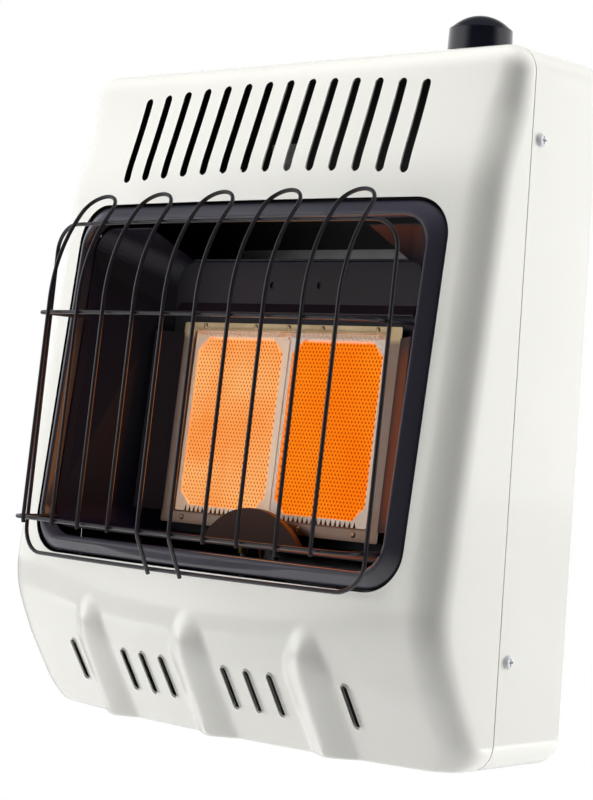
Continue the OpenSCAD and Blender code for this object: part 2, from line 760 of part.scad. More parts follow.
module venturi() {
    w = body_t;
    color("#9a9c9f") placed() on_burner() translate([inlet_x, burner_body_d / 2, -body_edge]) {
        difference() {
            translate([elbow_r, 0, 0]) rotate([-90, 0, 0]) rotate([0, 0, 90])
                rotate_extrude(angle = 90) translate([elbow_r, 0]) difference() {
                    circle(venturi_r);
                    circle(venturi_r - w);
                }
        }
        translate([elbow_r, 0, -elbow_r]) rotate([0, 90, 0]) difference() {
            union() {
                cylinder(r = venturi_r, h = venturi_x - inlet_x - elbow_r - bell_len);
                translate([0, 0, venturi_x - inlet_x - elbow_r - bell_len])
                    cylinder(r1 = throat_r + 2 * w, r2 = venturi_r + w, h = bell_len);
            }
            translate([0, 0, -over])
                cylinder(r = venturi_r - w, h = venturi_x - inlet_x - elbow_r - bell_len - w + over);
            translate([0, 0, -over]) cylinder(r = throat_r, h = venturi_x);
            translate([0, 0, venturi_x - inlet_x - elbow_r - bell_len + w])
                cylinder(r1 = throat_r, r2 = venturi_r, h = bell_len - w);
        }
    }
}

// Bracket that holds the injector in line with the venturi
injector_gap = 12;
injector_plate_t = 1.5;
injector_r = 5;
injector_plate = 30;
injector_arm_h = 8;

module at_injector() {
    on_burner() translate([venturi_x, burner_body_d / 2, -body_edge - elbow_r]) rotate([0, 90, 0]) children();
}

module injector_bracket() {
    color("#8d8f93") placed() at_injector() {
        difference() {
            translate([-injector_plate / 2, -injector_plate / 2, injector_gap])
                cube([injector_plate, injector_plate, injector_plate_t]);
            translate([0, 0, injector_gap - over]) cylinder(r = injector_r + hole_gap, h = injector_plate_t + 2 * over);
        }
        for (s = [-1, 1])
            translate([-injector_arm_h / 2, s * (injector_plate / 2 - injector_plate_t / 2) - injector_plate_t / 2, 0])
                cube([injector_arm_h, injector_plate_t, injector_gap]);
    }
}

// Brass injector
injector_nose = 6;
injector_hex = 7;
injector_bore_r = 0.6;

module injector() {
    color("#c9a24b") placed() at_injector() difference() {
        union() {
            translate([0, 0, injector_gap - injector_nose]) cylinder(r = injector_r, h = injector_nose + injector_plate_t);
            translate([0, 0, injector_gap + injector_plate_t]) cylinder(r = injector_r * 1.4, h = injector_hex, $fn = 6);
        }
        translate([0, 0, injector_gap - injector_nose - over])
            cylinder(r = injector_bore_r, h = injector_nose + injector_plate_t + injector_hex + 2 * over);
    }
}

// Pilot: a hooded burner, a thermocouple and an electrode on one bracket behind the shield
pilot_xs = [-12, 6, 20];
pilot_y = -94;
pilot_hole_r = 4.2;
pilot_floor_z = box_floor_z + box_t;
shield_y = -101;
shield_w = 92;
shield_h = 24;
shield_t = 1;
shield_d = 5;
bracket_t = 1.2;
pilot_bracket_w = 52;
pilot_bracket_d = 9;
pilot_foot_z = box_floor_z - 8;

module pilot_shield() {
    r = (shield_w * shield_w / 4 + shield_h * shield_h) / (2 * shield_h);
    color("#1c1a1f") placed() translate([0, 0, pilot_floor_z]) intersection() {
        difference() {
            translate([0, shield_y, shield_h - r]) rotate([-90, 0, 0]) cylinder(r = r, h = shield_d);
            translate([0, shield_y + shield_t, shield_h - r]) rotate([-90, 0, 0])
                cylinder(r = r - shield_t, h = shield_d);
        }
        translate([-shield_w, shield_y - over, 0]) cube([2 * shield_w, shield_d + 2 * over, 2 * shield_h]);
    }
}

module pilot_bracket() {
    color("#8d8f93") placed() translate([0, 0, pilot_floor_z]) difference() {
        translate([-pilot_bracket_w / 2 + pilot_xs[1] / 2, pilot_y - pilot_bracket_d / 2, 0])
            cube([pilot_bracket_w, pilot_bracket_d, bracket_t]);
        for (x = pilot_xs)
            translate([x, pilot_y, -over]) cylinder(r = pilot_hole_r, h = bracket_t + 2 * over, $fn = 24);
    }
}

// A round piece standing in the pilot bracket: its stem, the shoulder that seats it, and its tip
module pilot_post(x, stem_r, shoulder_r, shoulder_h, top, tip_r, tip_h) {
    translate([x, pilot_y, pilot_foot_z]) cylinder(r = stem_r, h = top - pilot_foot_z);
    translate([x, pilot_y, pilot_floor_z + bracket_t]) cylinder(r = shoulder_r, h = shoulder_h);
    translate([x, pilot_y, top]) cylinder(r = tip_r, h = tip_h);
}

pilot_top = pilot_floor_z + 12;

module pilot_burner() {
    color("#c9a24b") placed() pilot_post(pilot_xs[0], 3.6, 6, 3, pilot_top, 4.6, 4);
}

module thermocouple() {
    color("#9a6a4a") placed() pilot_post(pilot_xs[1], 2.2, 5, 2, pilot_top, 1.8, 7);
}

module electrode() {
    color("#efece4") placed() pilot_post(pilot_xs[2], 3, 5.2, 2, pilot_top - 3, 0.9, 12);
}

// Sheet supports that carry the firebox on the casing's back
support_t = 1.2;
support_x = 112;
support_flange = 10;
support_z = burner_z + 3;
support_h = 160;

module support(s) {
    y0 = box_back_y + box_t;
    x1 = support_x + support_flange;
    color("#8d8f93") placed() translate([0, 0, support_z]) linear_extrude(support_h)
        polygon([for (p = [
            [support_x, y0], [x1, y0], [x1, y0 + support_t], [support_x + support_t, y0 + support_t],
            [support_x + support_t, panel_y - support_t], [x1, panel_y - support_t], [x1, panel_y],
            [support_x, panel_y]
        ]) [s * p[0], p[1]]]);
}

// Heat shield between the burner and the casing's back
heat_shield_w = 208;
heat_shield_d = 12;
heat_shield_h = 220;
heat_shield_t = 0.8;

module heat_shield() {
    w = heat_shield_w / 2;
    y = panel_y - heat_shield_d;
    t = heat_shield_t;
    color("#a7a9ac") placed() translate([0, 0, burner_z - 20]) linear_extrude(heat_shield_h)
        polygon([
            [-w, panel_y], [-w, y], [w, y], [w, panel_y], [w - t, panel_y], [w - t, y + t],
            [-w + t, y + t], [-w + t, panel_y]
        ]);
}

// Gas valve under the knob
valve_w = 44;
valve_d = 34;
valve_h = 38;
valve_z = cab_h - 73;
valve_edge = 5;
rotor_r = 9;
rotor_z = valve_z + 7;
rotor_h = valve_h - 7;
bonnet_r = 14;
bonnet_h = 4;
shoulder_r = 10;
nut_h = 3;
outlet_z = valve_z + valve_h / 2;
port_r = 6;
port_h = 5;
supply_r = 4.8;
gas_r = 3.2;
pilot_r = 2;
lead_r = 1.5;
supply_x = 140;
pilot_run = [118, -50];
spark_run = [131, -43];
sense_run = [127, -30];

module at_valve() {
    translate([knob_x, valve_y, 0]) children();
}

module gas_valve() {
    color("#b4b7ba") placed() difference() {
        union() {
            at_valve() translate([0, 0, valve_z]) linear_extrude(valve_h) rounded_rect(valve_w, valve_d, valve_edge);
            translate([knob_x + valve_w / 2 - over, valve_y, outlet_z]) rotate([0, 90, 0])
                cylinder(r = port_r, h = port_h + over);
        }
        at_valve() translate([0, 0, rotor_z - run_gap]) cylinder(r = rotor_r + run_gap, h = valve_h);
    }
}

module valve_bonnet() {
    color("#c9a24b") placed() at_valve() difference() {
        union() {
            translate([0, 0, valve_z + valve_h]) cylinder(r = bonnet_r, h = bonnet_h);
            translate([0, 0, valve_z + valve_h]) cylinder(r = shoulder_r, h = cab_h - casing_t - valve_z - valve_h);
            translate([0, 0, valve_z + valve_h]) cylinder(r = neck_r, h = cab_h + nut_h - valve_z - valve_h);
        }
        translate([0, 0, valve_z + valve_h - over]) cylinder(d = stem_d + 2 * run_gap, h = cab_h);
    }
}

nut_r = 12;

module valve_nut() {
    color("#c9a24b") placed() at_valve() translate([0, 0, cab_h]) difference() {
        cylinder(r = nut_r, h = nut_h, $fn = 6);
        translate([0, 0, -over]) cylinder(r = neck_r + run_gap, h = nut_h + 2 * over);
    }
}

// A channel bracket between the casing's back and a body in front of it
module channel(x, y, w, z, h, t) {
    translate([x, 0, z]) linear_extrude(h)
        polygon([
            [-w / 2, panel_y], [-w / 2, y], [w / 2, y], [w / 2, panel_y], [w / 2 - t, panel_y],
            [w / 2 - t, y + t], [-w / 2 + t, y + t], [-w / 2 + t, panel_y]
        ]);
}

channel_t = 1.5;

module valve_bracket() {
    color("#8d8f93") placed() channel(knob_x, valve_y + valve_d / 2, valve_w, valve_z + channel_t, bracket_h / 2, channel_t);
}

stem_low = rotor_z + 9;
stem_top = cab_h + 25;

module valve_rotor() {
    color("#c9a24b") placed() at_valve() difference() {
        translate([0, 0, rotor_z]) cylinder(r = rotor_r, h = rotor_h - run_gap);
        translate([0, 0, stem_low - press_travel - seat_gap]) cylinder(d = stem_d + 2 * run_gap, h = valve_h);
    }
}

module control_stem() {
    color("#b4b7ba") placed() at_valve() translate([0, 0, stem_low]) cylinder(d = stem_d, h = stem_top - stem_low);
}

knob_gap = 4.2;
knob_wall = 2;
knob_draft = 0.4;
knob_shoulder_r = 1.4;
knob_top_r = knob_d / 2 - knob_draft - knob_shoulder_r;
hub_r = 7.5;
hub_gap = 4.3;

module control_knob() {
    z0 = cab_h + knob_gap;
    z1 = z0 + knob_skirt_h;
    dome_r = (knob_top_r * knob_top_r + knob_dome_h * knob_dome_h) / (2 * knob_dome_h);
    half = asin(knob_top_r / dome_r);
    color("#14151f") placed() at_valve() difference() {
        rotate_extrude() polygon([
            [0, z0],
            [knob_d / 2, z0],
            for (a = [0:30:60])
                [knob_top_r + knob_shoulder_r * cos(a), z1 - knob_shoulder_r * (1 - sin(a))],
            for (i = [0:8]) [dome_r * sin(half * (1 - i / 8)), z1 + knob_dome_h - dome_r * (1 - cos(half * (1 - i / 8)))]
        ]);
        translate([0, 0, z0 - over]) difference() {
            cylinder(r = knob_d / 2 - knob_wall, h = knob_skirt_h - knob_wall + over);
            cylinder(r = hub_r, h = knob_skirt_h + over);
        }
        translate([0, 0, z0 - over]) cylinder(r = hub_r + over, h = hub_gap + over);
        translate([0, 0, z0 - over]) cylinder(d = stem_d, h = stem_top - z0 + over);
    }
}

// Pressure regulator over the gas inlet
regulator_x = supply_x;
regulator_r = 26;
regulator_t = 26;
regulator_z = 60;
regulator_cap_r = 20;
regulator_cap_h = 6;
regulator_top = regulator_z + regulator_r + 10;

module regulator() {
    color("#a3a6a9") placed() translate([regulator_x, valve_y, 0]) difference() {
        union() {
            translate([0, regulator_t / 2, regulator_z]) rotate([90, 0, 0]) cylinder(r = regulator_r, h = regulator_t);
            translate([0, -regulator_t / 2, regulator_z]) rotate([90, 0, 0])
                cylinder(r = regulator_cap_r, h = regulator_cap_h);
            cylinder(r = regulator_boss_r, h = regulator_z);
            cylinder(r = port_r + 2, h = regulator_top);
        }
        translate([0, 0, -over]) cylinder(r = inlet_r, h = inlet_len + over);
    }
}

module regulator_bracket() {
    color("#8d8f93") placed() channel(regulator_x, valve_y + regulator_t / 2, valve_w - port_r, regulator_z - bracket_h / 4,
        bracket_h / 2, channel_t);
}

// Gas tubes and leads
tube_bend = 8;
burner_tube_x = 168;
burner_tube_y = -37;
run_zs = [98, 92, 104];

function on_burner_point(p) = [
    p[0],
    -burner_d + p[1] * cos(burner_lean) + p[2] * sin(burner_lean),
    burner_z - p[1] * sin(burner_lean) + p[2] * cos(burner_lean)
];

module supply_tube() {
    color("#c8b27a") placed() translate([regulator_x, valve_y, regulator_top]) cylinder(r = supply_r, h = valve_z - regulator_top);
}

module burner_tube() {
    start = on_burner_point([venturi_x + injector_gap + injector_plate_t + injector_hex,
        burner_body_d / 2, -body_edge - elbow_r]);
    color("#c8b27a") placed() pipe(rounded([
        start,
        [burner_tube_x, start[1], start[2]],
        [burner_tube_x, burner_tube_y, start[2] + 2 * tube_bend],
        [burner_tube_x, burner_tube_y, outlet_z],
        [knob_x + valve_w / 2 + port_h, valve_y, outlet_z]
    ], tube_bend, 5), gas_r, 8, [0, 0, 1]);
}

// A line from a post of the pilot bracket, down, back, across and up to the valve's underside
module pilot_line(post, run, level, r) {
    pipe(rounded([
        [pilot_xs[post], pilot_y, pilot_foot_z],
        [pilot_xs[post], pilot_y, level],
        [pilot_xs[post], run[1], level],
        [run[0], run[1], level],
        [run[0], run[1], valve_z]
    ], tube_bend, 4), r, 6, [1, 0.01, 0]);
}

module pilot_tube() {
    color("#c8b27a") placed() pilot_line(0, pilot_run, run_zs[0], pilot_r);
}

module thermocouple_lead() {
    color("#b87333") placed() pilot_line(1, sense_run, run_zs[1], lead_r);
}

module ignition_lead() {
    color("#3a3a3a") placed() pilot_line(2, spark_run, run_zs[2], lead_r);
}

front_cover();
rear_casing();
wall_bracket();
side_screws();
window_bezel();
guard_frame();
guard_bar_upper();
guard_bar_lower();
guard_hairpin(0);  // guard_hairpin_1
guard_hairpin(1);  // guard_hairpin_2
guard_hairpin(2);  // guard_hairpin_3
guard_hairpin(3);  // guard_hairpin_4
guard_hairpin(4);  // guard_hairpin_5
firebox();
heat_baffle();
reflector(-1);  // reflector_left
reflector(1);  // reflector_right
burner_body();
burner_frame();
tile(-1);  // tile_left
tile(1);  // tile_right
tile_gasket();
burner_screws();
venturi();
injector_bracket();
injector();
pilot_shield();
pilot_bracket();
pilot_burner();
thermocouple();
electrode();
support(-1);  // support_left
support(1);  // support_right
heat_shield();
gas_valve();
valve_bonnet();
valve_nut();
valve_bracket();
valve_rotor();
control_stem();
control_knob();
regulator();
regulator_bracket();
supply_tube();
burner_tube();
pilot_tube();
thermocouple_lead();
ignition_lead();
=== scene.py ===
"""Looks of a wall-hung gas room heater: bowed steel cabinet, glowing tiles, wire guard and knob."""

import math

import bmesh
import bpy
import numpy as np
from mathutils import Matrix, Vector


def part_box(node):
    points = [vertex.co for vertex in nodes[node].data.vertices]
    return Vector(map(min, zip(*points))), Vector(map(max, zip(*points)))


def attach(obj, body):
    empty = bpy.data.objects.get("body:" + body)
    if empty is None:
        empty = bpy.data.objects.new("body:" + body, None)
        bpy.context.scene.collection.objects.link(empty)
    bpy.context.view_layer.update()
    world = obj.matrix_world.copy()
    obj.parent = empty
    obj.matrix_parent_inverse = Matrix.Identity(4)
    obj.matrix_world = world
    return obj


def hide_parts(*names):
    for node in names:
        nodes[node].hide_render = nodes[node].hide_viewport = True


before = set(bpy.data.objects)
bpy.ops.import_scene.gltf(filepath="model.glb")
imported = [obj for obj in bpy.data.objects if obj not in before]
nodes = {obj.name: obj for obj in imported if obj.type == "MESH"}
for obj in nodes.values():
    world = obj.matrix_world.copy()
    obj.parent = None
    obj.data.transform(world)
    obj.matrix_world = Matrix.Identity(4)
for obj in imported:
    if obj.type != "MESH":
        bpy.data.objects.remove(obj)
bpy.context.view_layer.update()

# Camera
# The photograph is taken from the heater's right front, level with the middle of the cabinet and
# rolled a little. Its focal length is written for a picture 593 wide and 800 high.
photo_high = 800
focal_px = 2119.2
film_mm = 36
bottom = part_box("rear_casing")[0].z
eye = Vector((1.0159, -1.2088, bottom + 0.2217))
eye_turn = math.radians(41.5)
eye_tilt = 0.011
eye_roll = 0.065

camera = bpy.data.objects.new("camera", bpy.data.cameras.new("camera"))
bpy.context.scene.collection.objects.link(camera)
camera.data.sensor_width = film_mm
camera.data.lens = film_mm * focal_px / photo_high
camera.data.clip_start = 0.05
ahead = Vector((
    -math.sin(eye_turn) * math.cos(eye_tilt),
    math.cos(eye_turn) * math.cos(eye_tilt),
    math.sin(eye_tilt),
))
level = Vector((math.cos(eye_turn), math.sin(eye_turn), 0))
upright = level.cross(ahead)
right = level * math.cos(eye_roll) + upright * math.sin(eye_roll)
up = upright * math.cos(eye_roll) - level * math.sin(eye_roll)
camera.matrix_world = Matrix.Translation(eye) @ Matrix((right, up, -ahead)).transposed().to_4x4()
bpy.context.scene.camera = camera
bpy.context.scene.view_settings.view_transform = "Standard"

# Studio
# Soft boxes stand to the left front, the right rear, low in front and overhead. The room behind the
# camera is dark, which draws the grey band down the cabinet's rounded corner. The floor is pale.
ambient = 0.23
dark_room = 0.02
dark_edge = math.cos(math.radians(38))
bright_edge = math.cos(math.radians(74))
ceiling_low, ceiling_high, ceiling_share = 0.2, 0.75, 0.1
floor_drop = 0.55
floor_size = 40
lamps = (  # name, place, point that it faces, width, height, watts
    ("left_box", (-1.65, -1.35, -0.15), (0, 0, -0.2), 1.1, 1.6, 31.5),
    ("right_box", (1.35, 1.75, 0.0), (0.1, -0.05, -0.2), 0.9, 1.6, 57),
    ("floor_box", (-0.35, -1.0, -1.3), (0, -0.1, -0.3), 1.2, 0.8, 11),
    ("top_box", (0.1, -0.35, 1.7), (0, -0.05, -0.1), 1.2, 0.9, 44),
)


def shader_node(tree, kind, links=None, **settings):
    """A node with its settings, and its inputs linked to a socket or a node's first output, or set."""
    node = tree.nodes.new(kind)
    for name, value in settings.items():
        setattr(node, name, value)
    for name, value in (links or {}).items():
        if isinstance(value, bpy.types.Node):
            value = value.outputs[0]
        if isinstance(value, bpy.types.NodeSocket):
            tree.links.new(value, node.inputs[name])
        else:
            node.inputs[name].default_value = value
    return node


def reckon(tree, operation, *values, **settings):
    """A math node on numbers, sockets or nodes."""
    return shader_node(tree, "ShaderNodeMath", dict(enumerate(values)), operation=operation, **settings)


world = bpy.data.worlds.new("studio")
bpy.context.scene.world = world
world.use_nodes = True
sky = world.node_tree
sky.nodes.clear()
direction = shader_node(sky, "ShaderNodeTexCoord").outputs["Generated"]
to_eye = -ahead
facing = shader_node(sky, "ShaderNodeVectorMath", {0: direction, 1: to_eye}, operation="DOT_PRODUCT")
room = shader_node(sky, "ShaderNodeMapRange", {
    "Value": facing.outputs["Value"], "From Min": bright_edge, "From Max": dark_edge,
    "To Min": 1.0, "To Max": dark_room,
}, interpolation_type="SMOOTHSTEP")
height = shader_node(sky, "ShaderNodeSeparateXYZ", {"Vector": direction}).outputs["Z"]
ceiling = shader_node(sky, "ShaderNodeMapRange", {
    "Value": height, "From Min": ceiling_low, "From Max": ceiling_high,
    "To Min": 1.0, "To Max": ceiling_share,
}, interpolation_type="SMOOTHSTEP")
mirrored = reckon(sky, "MULTIPLY", room, ceiling)
path = shader_node(sky, "ShaderNodeLightPath")
shiny = reckon(sky, "MAXIMUM", path.outputs["Is Glossy Ray"], path.outputs["Is Transmission Ray"])
soft = reckon(sky, "MULTIPLY", room, ambient)
lit = shader_node(sky, "ShaderNodeMix", {"Factor": shiny, "A": soft, "B": mirrored})
seen = shader_node(sky, "ShaderNodeMix", {"Factor": path.outputs["Is Camera Ray"], "A": lit, "B": 1.0})
glow = shader_node(sky, "ShaderNodeBackground", {"Color": (1, 1, 1, 1), "Strength": seen})
shader_node(sky, "ShaderNodeOutputWorld", {"Surface": glow})


def soft_box(name, place, target, wide, high, watts):
    """A rectangular studio lamp that faces a point."""
    lamp = bpy.data.lights.new(name, "AREA")
    lamp.shape = "RECTANGLE"
    lamp.size, lamp.size_y = wide, high
    lamp.energy = watts
    stand = bpy.data.objects.new(name, lamp)
    bpy.context.scene.collection.objects.link(stand)
    stand.location = place
    stand.rotation_euler = (Vector(target) - Vector(place)).to_track_quat("-Z", "Y").to_euler()
    stand.visible_camera = False
    stand.visible_glossy = False


for lamp in lamps:
    soft_box(*lamp)


def plain_material(name):
    """A material with only its output, ready for a section's own nodes."""
    material = bpy.data.materials.new(name)
    material.use_nodes = True
    material.node_tree.nodes.clear()
    return material


def new_piece(name, verts, faces, edges=()):
    """An object at the origin whose mesh holds its place."""
    mesh = bpy.data.meshes.new(name)
    mesh.from_pydata([tuple(v) for v in verts], list(edges), list(faces))
    piece = bpy.data.objects.new(name, mesh)
    bpy.context.scene.collection.objects.link(piece)
    return piece


floor_z = bottom - floor_drop
half = floor_size / 2
floor = new_piece(
    "floor", [(-half, -half, floor_z), (half, -half, floor_z), (half, half, floor_z), (-half, half, floor_z)],
    [(0, 1, 2, 3)],
)
pale = plain_material("pale_floor")
tree = pale.node_tree
matt = shader_node(tree, "ShaderNodeBsdfDiffuse", {"Color": (0.8, 0.8, 0.8, 1)})
blank = shader_node(tree, "ShaderNodeEmission", {"Color": (1, 1, 1, 1), "Strength": 1.0})
path = shader_node(tree, "ShaderNodeLightPath")
both = shader_node(tree, "ShaderNodeMixShader", {
    "Fac": path.outputs["Is Camera Ray"], 1: matt, 2: blank,
})
shader_node(tree, "ShaderNodeOutputMaterial", {"Surface": both})
floor.data.materials.append(pale)

# Front cover
# One deep-drawn sheet of steel, bowed across and folded over a knee and a brow, with louvre slots
# above the window, air slots and three pressed ribs under it. Powder-coated in warm off-white.
cab_w = 407
cab_h = 481
corner_r = 20
casing_d = 74
seam_gap = 0.9
sheet_t = 1.2
base_d, base_flat, base_r = 119.5, 10, 5
knee_d, knee_z, knee_r = 163, 69, 70
brow_d, brow_z, brow_r = 123, 395, 150
crown_d, crown_r, crown_flat = 93, 24, 2
front_corner_r = 22
bow_mid, bow_low = 10.5, 24
bow_low_share, bow_mid_share = 0.8, 1.6
rib_pitch, rib_w, rib_h = 103, 38, 8
rib_tip_z, rib_run = 91.4, 32
rib_low_h = rib_h * 1.5
window_w, window_h, window_z, window_r = 350, 260, 115.7, 28
lip_d, lip_start = 8, 0.4
louvre_count, louvre_pitch, louvre_w, louvre_len = 14, 20.3, 7.1, 67
louvre_mid_z, louvre_arch, louvre_low_arch = 427.5, 6, 3.7
air_slot_w, air_slot_len, air_slot_pitch, air_slot_z = 5.6, 30, 20.1, 39.3
slot_lip_d, slot_lip_clear = 2.6, 1.7
slot_end_share = 0.499  # of the slot's width, just under half, so that the ends stay whole
slot_cut_y, slot_cut_d = -60, 120
air_slot_places = [-3.5, -2.5, -1.5, 1.5, 2.5, 3.5]
outer_slot_x = rib_pitch + air_slot_pitch * 1.35
bend_steps, row_step = 12, 3.5
merge_m = 0.00001
half_w = cab_w / 2
seam_y = -casing_d - seam_gap


def placed(points):
    """Points in millimetres over the cabinet's bottom, moved into the frame in metres."""
    return np.asarray(points, float) / 1000 + np.array([0, 0, bottom])


def unit(v):
    return v / np.linalg.norm(v)


def bend(a, b, c, radius, steps):
    """Points of a round bend at b on the way from a to c."""
    u, v = unit(a - b), unit(c - b)
    half_angle = math.acos(max(-1, min(1, float(u @ v)))) / 2
    turn = math.pi - 2 * half_angle
    middle = b + unit(u + v) * radius / math.sin(half_angle)
    start = b + u * radius / math.tan(half_angle) - middle
    end = b + v * radius / math.tan(half_angle) - middle
    return [
        middle + (start * math.sin(turn * (1 - t)) + end * math.sin(turn * t)) / math.sin(turn)
        for t in np.linspace(0, 1, steps + 1)
    ]


def rounded(points, radii, steps):
    """A path with a round bend at each inner point."""
    p = [np.array(q, float) for q in points]
    out = [p[0]]
    for k, radius in enumerate(radii):
        out += bend(p[k], p[k + 1], p[k + 2], radius, steps)
    return out + [p[-1]]


def stepped(points, step):
    """The same path with its long stretches cut into steps."""
    out = []
    for a, b in zip(points[:-1], points[1:]):
        count = max(1, math.ceil(np.linalg.norm(b - a) / step))
        out += [a + (b - a) * k / count for k in range(count)]
    return out + [points[-1]]


def smooth(t):
    t = np.clip(t, 0, 1)
    return t * t * (3 - 2 * t)


def window_y(z):
    """The flat of the sheet round the window, in the middle of the cover."""
    return -(knee_d + (brow_d - knee_d) * (z - knee_z) / (brow_z - knee_z))


def bow(z):
    """How far the cover's sides fall back from its middle at a height."""
    if z > brow_z:
        return bow_mid * (1 - ((z - brow_z) / (cab_h - brow_z)) ** 3)
    t = (z / knee_z - bow_low_share) / (bow_mid_share - bow_low_share)
    return bow_low + (bow_mid - bow_low) * smooth(t)


def face_y(x, z):
    return window_y(z) + bow(z) * (x / half_w) ** 2


def rib_y(x, z):
    """How far the ribs stand out of the sheet along a row."""
    t = (rib_tip_z - z) / rib_run
    if t <= 0:
        return np.zeros_like(x)
    high = rib_h + (rib_low_h - rib_h) * min(1, max(0, 1 - z / knee_z))
    out = np.zeros_like(x)
    for k in (-1, 0, 1):
        v = np.abs(x - k * rib_pitch) / (rib_w / 2) / max(0.01, math.sqrt(min(1, t)))
        shape = np.where(v < 1, 1 - np.minimum(v, 1) ** 1.3, 0) * smooth(min(1, t * 1.2))
        out = np.maximum(out, shape)
    return out * high


def half_at(z):
    """Half the cover's width at a height, with its corners rounded in the front view."""
    e = max(0, min(z, cab_h - z))
    return half_w - (corner_r - math.sqrt(corner_r ** 2 - (corner_r - e) ** 2) if e < corner_r else 0)


rib_cols, inner_cols, edge_cols, corner_cols, side_cols = 40, 56, 12, 12, 8


def cover_row(y0, z0):
    """One line round the cover at a height, from the left seam to the right seam."""
    b, w = bow(z0), half_at(z0)
    r = min(front_corner_r, max(1, 0.85 * (-casing_d - y0 - b)))
    xf = w - r
    reach = inner_cols * rib_pitch / rib_cols
    inner = np.linspace(0, reach, inner_cols + 1)
    edge = np.linspace(reach, xf, edge_cols + 1)[1:]
    x = np.concatenate([inner, edge])
    y = y0 + b * (x / half_w) ** 2 - rib_y(x, z0)
    ye, slope = y0 + b * (xf / half_w) ** 2, 2 * b * xf / half_w ** 2
    yc = min(seam_y, ye + r * (1 + slope / 2))
    q = [np.array(p) for p in (
        (xf, ye), (xf + 0.55 * r, ye + 0.55 * r * slope), (w, yc + (ye - yc) * 0.55), (w, yc))]
    t = np.linspace(0, 1, corner_cols + 1)[1:, None]
    s = 1 - t
    corner = q[0] * s ** 3 + q[1] * 3 * s ** 2 * t + q[2] * 3 * s * t ** 2 + q[3] * t ** 3
    side = np.stack([np.full(side_cols, w), np.linspace(yc, seam_y, side_cols + 1)[1:]], 1)
    rightward = np.concatenate([np.stack([x, y], 1), corner, side])
    leftward = rightward[:0:-1] * [-1, 1]
    line = np.concatenate([leftward, rightward])
    return np.concatenate([line, np.full((len(line), 1), z0)], 1)


def grid_faces(rows, cols, first=0, ring=False):
    """Quads between rows of points, or between closed rings of points."""
    return [
        (first + i * cols + j, first + i * cols + (j + 1) % cols,
         first + (i + 1) * cols + (j + 1) % cols, first + (i + 1) * cols + j)
        for i in range(rows - 1) for j in range(cols if ring else cols - 1)
    ]


def loop_xz(wide, z0, z1, r, steps=14, along=10):
    """A rounded rectangle in the front view, as points anticlockwise from the right upper corner."""
    turns = [(1, 1, 0), (-1, 1, 90), (-1, -1, 180), (1, -1, 270)]
    points = [
        np.array([sx * (wide / 2 - r) + r * math.cos(math.radians(a + 90 * i / steps)),
                  (z1 - r if sz > 0 else z0 + r) + r * math.sin(math.radians(a + 90 * i / steps))])
        for sx, sz, a in turns for i in range(steps + 1)
    ]
    out = []
    for k, p in enumerate(points):
        q = points[(k + 1) % len(points)]
        count = along * 2 if k % (steps + 1) == steps else 1
        out += [p + (q - p) * i / count for i in range(count)]
    return out


def tidy(piece, turn=True):
    """Merges doubles, drops faces without an area and, where asked, turns the normals out."""
    work = bmesh.new()
    work.from_mesh(piece.data)
    bmesh.ops.remove_doubles(work, verts=work.verts, dist=merge_m)
    bmesh.ops.dissolve_degenerate(work, edges=work.edges, dist=merge_m)
    if turn:
        bmesh.ops.recalc_face_normals(work, faces=work.faces)
    work.to_mesh(piece.data)
    work.free()


def shaded(piece, degrees=32):
    """Smooth shading with crisp edges."""
    piece.data.shade_smooth()
    piece.data.set_sharp_from_angle(angle=math.radians(degrees))


def settled(piece):
    """Turns a piece's modifiers into its plain mesh."""
    bpy.context.view_layer.update()
    seen_now = piece.evaluated_get(bpy.context.evaluated_depsgraph_get())
    mesh = bpy.data.meshes.new_from_object(seen_now)
    mesh.name = piece.name
    piece.modifiers.clear()
    piece.data = mesh
    return piece


def gone(piece):
    bpy.data.objects.remove(piece)


def new_tree(name, inputs):
    """A geometry tree with named inputs, and its input node's sockets by name."""
    tree = bpy.data.node_groups.new(name, "GeometryNodeTree")
    tree.interface.new_socket("Geometry", in_out="INPUT", socket_type="NodeSocketGeometry")
    for label, kind in inputs.items():
        tree.interface.new_socket(label, in_out="INPUT", socket_type="NodeSocket" + kind)
    tree.interface.new_socket("Geometry", in_out="OUTPUT", socket_type="NodeSocketGeometry")
    return tree, tree.nodes.new("NodeGroupInput").outputs


def close_tree(tree, geometry, material):
    """Ends a geometry tree with real geometry in one material."""
    real = shader_node(tree, "GeometryNodeRealizeInstances", {"Geometry": geometry})
    dressed = shader_node(tree, "GeometryNodeSetMaterial", {"Geometry": real, "Material": material})
    shader_node(tree, "NodeGroupOutput", {"Geometry": dressed})


def grown(name, tree, values, points, edges=()):
    """A piece made by a geometry tree from points and edges."""
    piece = new_piece(name, points, [], edges)
    modifier = piece.modifiers.new("shape", "NODES")
    modifier.node_group = tree
    for item in tree.interface.items_tree:
        if item.in_out == "INPUT" and item.name in values:
            modifier[item.identifier] = values[item.name]
    return settled(piece)


def slot_face(tree, given):
    """A flat face with the outline of a slot."""
    outline = shader_node(tree, "GeometryNodeCurvePrimitiveQuadrilateral", {
        "Width": given["Width"], "Height": given["Length"]})
    end_r = reckon(tree, "MULTIPLY", given["Width"], slot_end_share)
    ended = shader_node(tree, "GeometryNodeFilletCurve", {
        "Curve": outline, "Radius": end_r, "Count": 8}, mode="POLY")
    return shader_node(tree, "GeometryNodeFillCurve", {
        "Curve": ended}, mode="NGONS").outputs["Mesh"]


